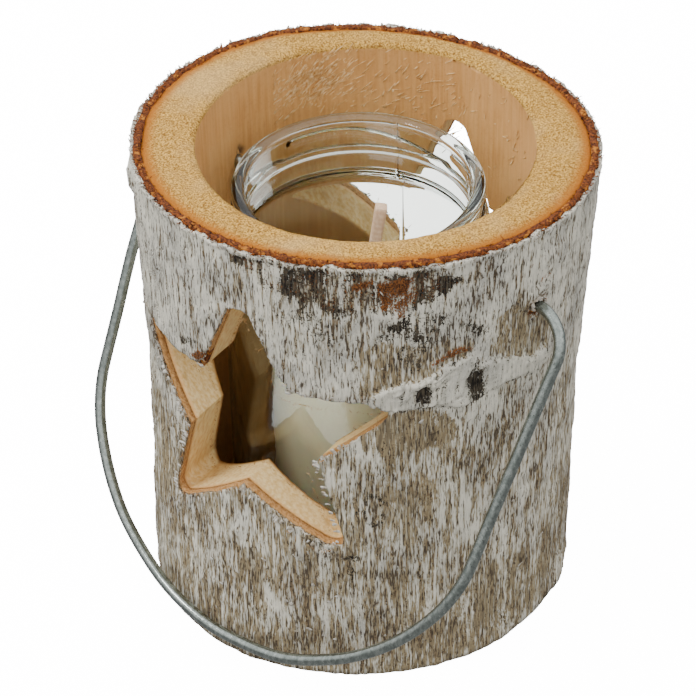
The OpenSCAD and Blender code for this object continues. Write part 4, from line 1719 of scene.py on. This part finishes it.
class LANTERN_OT_jar(bpy.types.Operator):
    """Makes the glass jar with its lip, thread, bead, shoulder and thick base."""

    bl_idname = "lantern.jar"
    bl_label = "Glass jar"

    def execute(self, context):
        top = JAR_Z + JAR_H
        shoulder = lambda z: JAR_R - 5.0 * steps(z, 125.5, 133.5)
        # Outside, up: a lifted base, a round heel, the body, the shoulder, the bead and the lip.
        heel = np.radians(np.linspace(-78, 0, 9))
        base = np.array([[0.0, 2.0], [12, 2.0], [24, 1.9], [32, 1.5], [35.5, 0.5], [36.6, 0.12]])
        base = base + [0, JAR_Z]
        heel = np.stack([JAR_R - 6 + 6 * np.cos(heel), JAR_Z + 6 + 6 * np.sin(heel)], -1)
        z = np.r_[
            np.linspace(JAR_Z + 8, 122, 26),
            np.linspace(124, top - 3.6, 76),
            np.linspace(top - 3.4, top - 1.2, 12),
        ]
        r = shoulder(z) + 2.9 * np.exp(-(((z - 139.6) / 1.5) ** 4)) + 1.4 * steps(z, top - 3.4, top - 2.8)
        body = np.stack([r, z], -1)
        lip = np.radians(np.linspace(15, 165, 9))
        mid = (shoulder(top) + 1.4 + shoulder(top) - 2.9) / 2
        lip = np.stack([mid + 2.15 * np.cos(lip), top - 1.3 + 1.3 * np.sin(lip)], -1)
        zi = np.r_[
            np.linspace(top - 2.0, top - 4.0, 10),
            np.linspace(top - 4.5, 124, 36),
            np.linspace(121, JAR_Z + 9, 20),
        ]
        inner_r = (
            shoulder(zi + 1.2)
            - 2.5
            + 0.25 * np.exp(-((zi - 139.6) / 2.5) ** 2)
            - 0.4 * steps(zi, top - 3.6, top - 2.8)
        )
        inner = np.stack([inner_r, zi], -1)
        round_in = np.radians(np.linspace(0, -90, 7))
        corner = np.stack([JAR_R - 2.5 - 3 + 3 * np.cos(round_in), JAR_Z + 8 + 3 * np.sin(round_in)], -1)
        floor = np.array([[30, 5.0], [15, 5.0], [0, 5.0]]) + [0, JAR_Z]
        profile = np.concatenate([base, heel, body, lip, inner, corner, floor])
        out_rows = np.zeros(len(profile))
        out_rows[len(base) + len(heel) : len(base) + len(heel) + len(body)] = 1.0
        split = np.radians(SEAM + np.array([-1.1, -0.7, -0.4, 0, 0.4, 0.7, 1.1]))
        p = lathe(
            profile, np.unique(np.r_[np.linspace(0, 2 * np.pi, 300, endpoint=False), split, split + np.pi])
        )
        a = np.arctan2(p[..., 1], p[..., 0]) + 0 * p[..., 2]
        # Four thread lugs: each runs a quarter turn clockwise, level at first and then down, as a
        # rounded ridge whose height is a bell curve across it and fades at its ends.
        turned = (math.radians(169) - a) % (2 * np.pi) / (np.pi / 2)
        share = turned % 1.0
        centre = 146.9 - 6.2 * steps(share, 0.30, 1.05)
        ends = steps(share, 0.0, 0.05) * (1 - steps(share, 0.93, 1.0))
        ridge = 1.7 * ends * np.exp(-(((p[..., 2] - centre) / 1.25) ** 2)) * out_rows[:, None]
        off = a - math.radians(SEAM)
        seam = 0.3 * np.exp(-(np.sin(off) / 0.009) ** 2) * out_rows[:, None] * (np.cos(off) > 0)
        grow = 1 + (ridge + seam) / np.maximum(np.hypot(p[..., 0], p[..., 1]), 1e-6)
        p[..., 0] *= grow
        p[..., 1] *= grow
        q, f = weld([sheet_patch(p)])
        piece = make_piece("jar_glass", q, f, glass_material(look()))
        piece.visible_shadow = False
        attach(piece, "jar")
        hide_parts("glass_jar")
        return {"FINISHED"}


class LANTERN_OT_candle(bpy.types.Operator):
    """Makes the wax, the wick and the finish of the tin sustainer under them."""

    bl_idname = "lantern.candle"
    bl_label = "Candle"

    def execute(self, context):
        # A ring of wax round the sustainer: up the outside with round edges, down to a shallow dish at
        # the wick, then down the hole that holds the wick and its sustainer.
        edge = np.radians(np.linspace(0, 90, 7))
        low = np.array([[10.6, 0.0], [20, 0.0], [WAX_R - 1.3, 0.0], [WAX_R - 0.4, 0.4], [WAX_R, 1.3]])
        side_z = np.linspace(3, WAX_H - 2.6, 30)
        side = np.stack([WAX_R - 0.35 * np.sin(np.pi * side_z / WAX_H), side_z], -1)
        rim = np.stack([WAX_R - 2 + 2 * np.cos(edge), WAX_H - 2 + 2 * np.sin(edge)], -1)
        dish_r = np.linspace(WAX_R - 3.5, 3.2, 16)
        sunk = 1.1 * (1 - steps(dish_r, 4.0, WAX_R - 3.5))
        dish = np.stack([dish_r, WAX_H - sunk + 0.9 * np.exp(-((dish_r - 3.2) / 2.0) ** 2)], -1)
        well_r = np.array([2.72, 2.72, 2.72, 2.72, 3.55, 3.55, 10.6])
        well = np.stack([well_r, [WAX_H - 1.2, 60, 20, 9.2, 8.9, 0.8, 0.7]], -1)
        profile = np.concatenate([low, side, rim, dish, well, low[:1]])
        p = lathe(profile, 128, WAX_AT)
        x, y, z = p[..., 0], p[..., 1], p[..., 2] + WAX_Z
        ripple = 0.10 * grain(x, y, z, (22, 22, 30), 111) * (np.hypot(x - WAX_AT[0], y - WAX_AT[1]) > 12)
        p = np.stack([x + ripple, y + ripple, z], -1)
        q, f = weld([sheet_patch(p)])
        piece = make_piece("wax", q, f, wax_material(look()))
        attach(piece, "candle")
        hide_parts("candle_wax")

        # The wick: a square bar with worn corners along a line that stands upright in the wax and then
        # leans over in a slight curve.
        s = np.linspace(0, 1, 60)
        z = WAX_Z + 0.55 + s * (120.9 - 0.55)
        free = np.clip(z - WAX_Z - WAX_H, 0, None)
        lean = 0.085 * free + 0.0009 * free**2
        way = np.array([math.cos(WICK_SIDE), math.sin(WICK_SIDE)])
        a = np.radians(np.linspace(0, 360, 24, endpoint=False))
        soft = 1 / (np.abs(np.cos(a)) ** 8 + np.abs(np.sin(a)) ** 8) ** (1 / 8)
        sx, sy = 1.86 * soft * np.cos(a), 1.86 * soft * np.sin(a)
        wave = 1 + 0.018 * np.sin(z * 2.6)[:, None] * np.sin(2 * a)[None, :]
        bar_x = WAX_AT[0] + (lean[:, None] + sx * wave) * way[0] - sy * wave * way[1]
        bar_y = WAX_AT[1] + (lean[:, None] + sx * wave) * way[1] + sy * wave * way[0]
        rows = np.stack(
            [bar_x, bar_y, z[:, None] - (0.085 + 0.0018 * free[:, None]) * sx * (free[:, None] > 0)], -1
        )
        mid = rows.mean(1, keepdims=True)
        close = lambda row, centre, share, shift: centre + (row - centre) * share + [0, 0, shift]
        rows = np.concatenate(
            [
                close(rows[:1], mid[:1], 0, 0),
                rows,
                close(rows[-1:], mid[-1:], 0.9, 0.15),
                close(rows[-1:], mid[-1:], 0, 0.2),
            ]
        )
        q, f = weld([sheet_patch(rows)])
        piece = make_piece("wick_braid", q, f, wick_material(look()))
        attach(piece, "candle")
        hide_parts("wick")

        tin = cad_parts["wick_sustainer"]
        for slot in tin.material_slots:
            slot.link = "OBJECT"
            slot.material = tin_material()
        return {"FINISHED"}


class LANTERN_OT_bail(bpy.types.Operator):
    """Makes the bent wire bail with its hooked ends."""

    bl_idname = "lantern.bail"
    bl_label = "Wire bail"

    def execute(self, context):
        half, drop, lean = 83.4, 147.29, math.radians(3.9)
        rest = math.radians(29.18)
        shoulder, corner_r, flat, hook_x, hook_r, hook_end = 13.0, 50.0, 15.3, 48.6, 4.0, 9.0
        top = np.array([half - shoulder + shoulder * math.cos(lean), -shoulder - shoulder * math.sin(lean)])
        end_h = (top[0] - flat - math.tan(lean) * (drop + top[1])) / (1 - math.tan(lean))
        length = (drop + top[1] - end_h) / math.cos(lean)
        side_end = top - length * np.array([math.sin(lean), math.cos(lean)])
        corner = side_end - corner_r * np.array([math.cos(lean), -math.sin(lean)])
        wide = 2 * math.atan((drop + corner[1] - corner_r) / corner[0])
        bottom_r = corner_r + corner[0] / math.sin(wide)
        arc = lambda c, r, a0, a1, n: np.stack(
            [c[0] + r * np.cos(np.linspace(a0, a1, n)), c[1] + r * np.sin(np.linspace(a0, a1, n))], -1
        )
        line = lambda a, b, n: np.array(a) + (np.array(b) - np.array(a)) * np.linspace(0, 1, n)[:, None]
        # One side from the middle of the bottom: a wide arc, a corner arc, the leaning side, the
        # shoulder, the straight run through the log and the hook.
        right = [arc((0, bottom_r - drop), bottom_r, -math.pi / 2, wide - math.pi / 2, 60)]
        right += [arc(corner, corner_r, wide - math.pi / 2, -lean, 34)[1:], line(side_end, top, 40)[1:]]
        right += [arc((half - shoulder, -shoulder), shoulder, -lean, math.pi / 2, 22)[1:]]
        right += [line((half - shoulder, 0), (hook_x + hook_r, 0), 14)[1:]]
        right += [
            arc((hook_x + hook_r, -hook_r), hook_r, math.pi / 2, math.pi, 12)[1:],
            line((hook_x, -hook_r), (hook_x, -hook_end + 0.6), 6)[1:],
        ]
        right = np.concatenate(right)
        flat_path = np.vstack([right[::-1] * [-1, 1], right[1:]])
        # Small kinks from bending by hand, which fade out where the wire passes through the log.
        run = np.r_[0, np.cumsum(np.hypot(*np.diff(flat_path, axis=0).T))]
        free = steps(-flat_path[:, 1], 6.0, 30.0)
        kink = 0.35 * value_noise(np.stack([run / 17, 0 * run, 0 * run], -1), 131) * free
        out = flat_path / np.linalg.norm(flat_path, axis=1)[:, None]
        flat_path = flat_path + out * np.minimum(kink, 0.25)[:, None]
        x, y = flat_path.T
        path = np.stack([x, y * math.sin(rest), HOLE_Z + y * math.cos(rest)], -1)
        radius = WIRE_R * (1 + 0.012 * value_noise(np.stack([run / 5, 0 * run + 3, 0 * run], -1), 137))
        q, f = weld([sheet_patch(tube(path, np.minimum(radius, WIRE_R), 18))])
        piece = make_piece("bail_wire", q, f, zinc_material(look()))
        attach(piece, "handle")
        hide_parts("wire_handle")
        return {"FINISHED"}


class LANTERN_OT_stage(bpy.types.Operator):
    """Makes the pale floor, the soft lights and the camera."""

    bl_idname = "lantern.stage"
    bl_label = "Stage"

    def execute(self, context):
        # A white floor that is lit from within like a product table, and a dimmer one just under it
        # that is only seen through the glass.
        g = np.linspace(-3500.0, 3500.0, 9)
        x, y = np.meshgrid(g, g, indexing="ij")
        for name, level, glow in (("floor", 0.0, 14.0), ("floor_through_glass", -1.0, sizes().glow)):
            p, f = sheet_patch(np.stack([x, y, 0 * x + level], -1), closed=False)
            material, tree, place, shader = blank("pale_" + name)
            spread = add(tree, "Mapping", {"Vector": place, "Scale": (3, 3, 3)})
            settings = {"Vector": spread, "Scale": 1.0, "Detail": 2.0, "Roughness": 0.5}
            haze = add(tree, "TexNoise", settings)
            settings = {FACTOR: haze, BELOW: srgb("FAFAFA"), ABOVE: srgb("FFFFFF")}
            paint = add(tree, "Mix", settings, out=MIXED, data_type="RGBA")
            tree.links.new(paint, shader.inputs["Base Color"])
            shader.inputs["Roughness"].default_value = 0.9
            shader.inputs["Specular IOR Level"].default_value = 0.0
            shader.inputs["Emission Color"].default_value = (1, 1, 1, 1)
            shader.inputs["Emission Strength"].default_value = glow
            floor = make_piece(name, p, f, material, outward=False)
            floor.visible_diffuse = floor.visible_glossy = False
            floor.visible_transmission = level < 0
            floor.visible_camera = level == 0

        world = bpy.data.worlds.new("soft_room")
        context.scene.world = world
        world.use_nodes = True
        sky = world.node_tree
        back = sky.nodes["Background"]
        back.inputs["Color"].default_value = (1.0, 0.99, 0.97, 1.0)
        # The room is brightest overhead and darker towards the floor, so metal and glass have dark edges.
        height = add(sky, "SeparateXYZ", {0: add(sky, "TexCoord", out="Generated")}, out=2)
        settings = {"Value": height, "From Min": -0.1, "From Max": 0.55}
        settings.update({"To Min": 0.35 * sizes().sky, "To Max": 1.45 * sizes().sky})
        level = add(sky, "MapRange", settings, interpolation_type="SMOOTHSTEP")
        sky.links.new(level, back.inputs["Strength"])
        lamps = [("key", (-900, -700, 1300), 1500, sizes().key_light, (1.0, 0.99, 0.97)),
                 ("fill", (1300, -900, 1100), 2000, 0.5 * sizes().key_light, (1.0, 0.99, 0.98)),
                 ("back", (-300, 1200, 1500), 1500, 0.5 * sizes().key_light, (1.0, 1.0, 1.0)),
                 ("spark", (-500, -900, 1500), 380, 0.45 * sizes().key_light, (1.0, 1.0, 1.0))]
        for name, at, size, power, colour in lamps:
            light = bpy.data.lights.new(name, "AREA")
            light.shape, light.size, light.energy, light.color = "DISK", size * 0.001, power, colour
            lamp = bpy.data.objects.new(name, light)
            lamp.visible_glossy = name == "spark"
            lamp.visible_transmission = False
            lamp.location = Vector(at) * 0.001
            lamp.rotation_euler = (Vector((0, 0, 80)) - Vector(at)).to_track_quat("-Z", "Y").to_euler()
            context.scene.collection.objects.link(lamp)

        camera = bpy.data.cameras.new("camera")
        camera.lens, camera.sensor_width = 144.8, 36.0
        camera.shift_x, camera.shift_y = -0.0187, 0.0402
        camera.clip_start, camera.clip_end = 0.05, 20.0
        ahead = Vector((-0.5036, 0.5875, -0.6333)).normalized()
        right = ahead.cross(Vector((0, 0, 1))).normalized()
        up = right.cross(ahead)
        roll = math.radians(-0.88)
        side = right * math.cos(roll) + up * math.sin(roll)
        rise = up * math.cos(roll) - right * math.sin(roll)
        place = Matrix.Translation(Vector((465.3, -542.9, 660.2)) * 0.001)
        holder = bpy.data.objects.new("camera", camera)
        holder.matrix_world = place @ Matrix((side, rise, -ahead)).transposed().to_4x4()
        context.scene.collection.objects.link(holder)
        context.scene.camera = holder
        return {"FINISHED"}


class LANTERN_PT_panel(bpy.types.Panel):
    """Lists the lantern's pieces and settings in the sidebar."""

    bl_idname = "LANTERN_PT_panel"
    bl_label = "Birch log lantern"
    bl_space_type = "VIEW_3D"
    bl_region_type = "UI"
    bl_category = "Lantern"

    def draw(self, context):
        for operator in OPERATORS:
            self.layout.operator(operator.bl_idname)
        for group in (context.scene.lantern_look, context.scene.lantern_sizes):
            for name in group.__annotations__:
                self.layout.prop(group, name)


OPERATORS = (LANTERN_OT_bark, LANTERN_OT_inner_bark, LANTERN_OT_wood, LANTERN_OT_fringe, LANTERN_OT_flakes,
             LANTERN_OT_jar, LANTERN_OT_candle, LANTERN_OT_bail, LANTERN_OT_stage)
CLASSES = (LanternLook, LanternSizes, *OPERATORS, LANTERN_PT_panel)


def register():
    for cls in CLASSES:
        bpy.utils.register_class(cls)
    bpy.types.Scene.lantern_look = PointerProperty(type=LanternLook)
    bpy.types.Scene.lantern_sizes = PointerProperty(type=LanternSizes)


def unregister():
    del bpy.types.Scene.lantern_look
    del bpy.types.Scene.lantern_sizes
    for cls in reversed(CLASSES):
        bpy.utils.unregister_class(cls)


def main():
    """Registers the add-on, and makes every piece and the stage."""
    register()
    for operator in OPERATORS:
        getattr(bpy.ops.lantern, operator.bl_idname.split(".")[1])()


if __name__ == "__main__":
    main()
